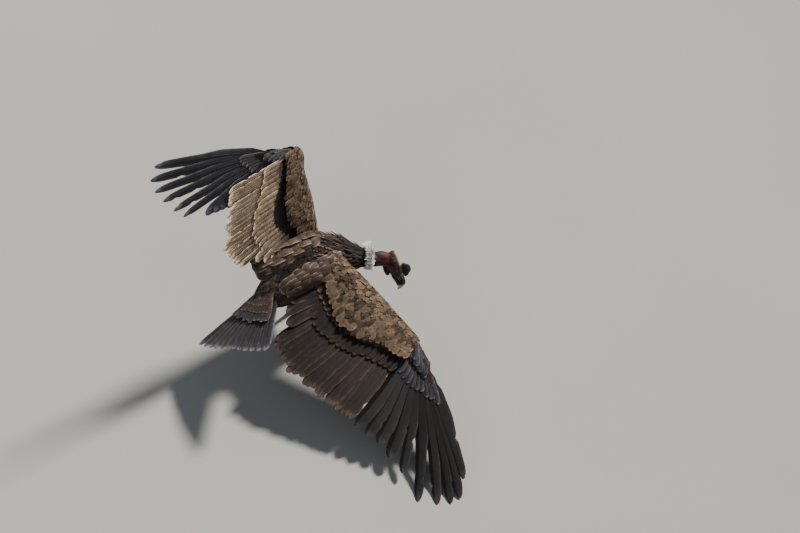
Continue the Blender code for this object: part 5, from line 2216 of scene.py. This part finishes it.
def make_wings() -> tuple[Wing, Wing]:
    """The spread right wing and the raised left wing, each with its light and shade painted into its tones.

    Returns:
        Right and left.
    """
    right = Wing(
        side=-1, out=Vector((0.0957, -0.951, -0.2906)), back=Vector((-0.957, -0.0084, -0.288)), spread=0.554,
        fan=(77.0, 69.5, 62.0, 55.0, 48.5, 42.0, 35.5, 31.0, 27.3, 24.0),
        reach=(0.52, 0.53, 0.545, 0.6, 0.665, 0.81, 0.835, 0.84, 0.82, 0.735),
        secondary=(0.5, 0.445), sweep=(81.0, 101.0), droop=0.0, bulge=0.012, sink=0.004, step=(1.15, 0.105),
        wrist_pad=0.006, median_length=(0.13, 0.17),
        # painted shade: the right wing's median and greater coverts and secondaries are dark, as under the
        # padded small coverts and turned from the light
        tones=WingTones(lesser=srgb(178, 150, 122), lesser_dark=srgb(88, 68, 56), median=srgb(96, 76, 64),
                        greater=srgb(64, 50, 44), secondary=srgb(62, 47, 41), primary=srgb(34, 31, 35),
                        thumb=srgb(92, 90, 100)))
    left = Wing(
        side=1, out=Vector((0.006, 0.238, 0.971)), back=Vector((-0.99, -0.08, 0.02)), spread=0.5375,
        fan=(100.0, 98.0, 96.3, 94.6, 88.5, 83.5, 77.6, 72.8, 68.1, 63.1),
        reach=(0.427, 0.46, 0.5, 0.545, 0.657, 0.703, 0.755, 0.8, 0.83, 0.82),
        secondary=(0.405, 0.365), sweep=(86.0, 98.0), droop=0.05, bulge=0.03, sink=0.014, step=(0.55, 0.055),
        wrist_pad=0.038, median_length=(0.085, 0.105),
        # painted light: the left wing's greater coverts and secondaries are pale as if in full light; its
        # median coverts near black as painted shadow under the padded small coverts
        tones=WingTones(lesser=srgb(166, 138, 112), lesser_dark=srgb(92, 72, 60), median=srgb(46, 36, 32),
                        greater=srgb(248, 218, 184), secondary=srgb(236, 208, 178),
                        primary=srgb(84, 84, 96), thumb=srgb(116, 114, 122)))
    return right, left


def main() -> None:
    """Builds every sub-assembly in order."""
    logging.basicConfig(level=logging.INFO, format="%(message)s")
    Studio().build()
    trunk, neck, tail, head = Trunk(), Neck(), Tail(), Head()
    right, left = make_wings()
    legs = (Leg(-1), Leg(1))
    build_skin(trunk, neck, (right, left), tail, legs)
    trunk.contour()
    trunk.scapulars()
    trunk.shoulder_fold()
    neck.hackles(trunk)
    neck.collar(trunk)
    for wing in (right, left):
        wing.flight()
        wing.coverts()
        wing.under()
        wing.plumes(False)
        wing.plumes(True)
    tail.feathers()
    tail.coverts()
    head.skin(neck)
    head.mandible("upper_bill", head.upper, 40, "bill_upper", True)
    head.mandible("lower_bill", head.lower, 30, "bill_lower", False)
    for side in (-1, 1):
        head.eye(side)
    for leg in legs:
        leg.trousers()
        leg.scales()
        leg.claws()


if __name__ == "__main__":
    main()
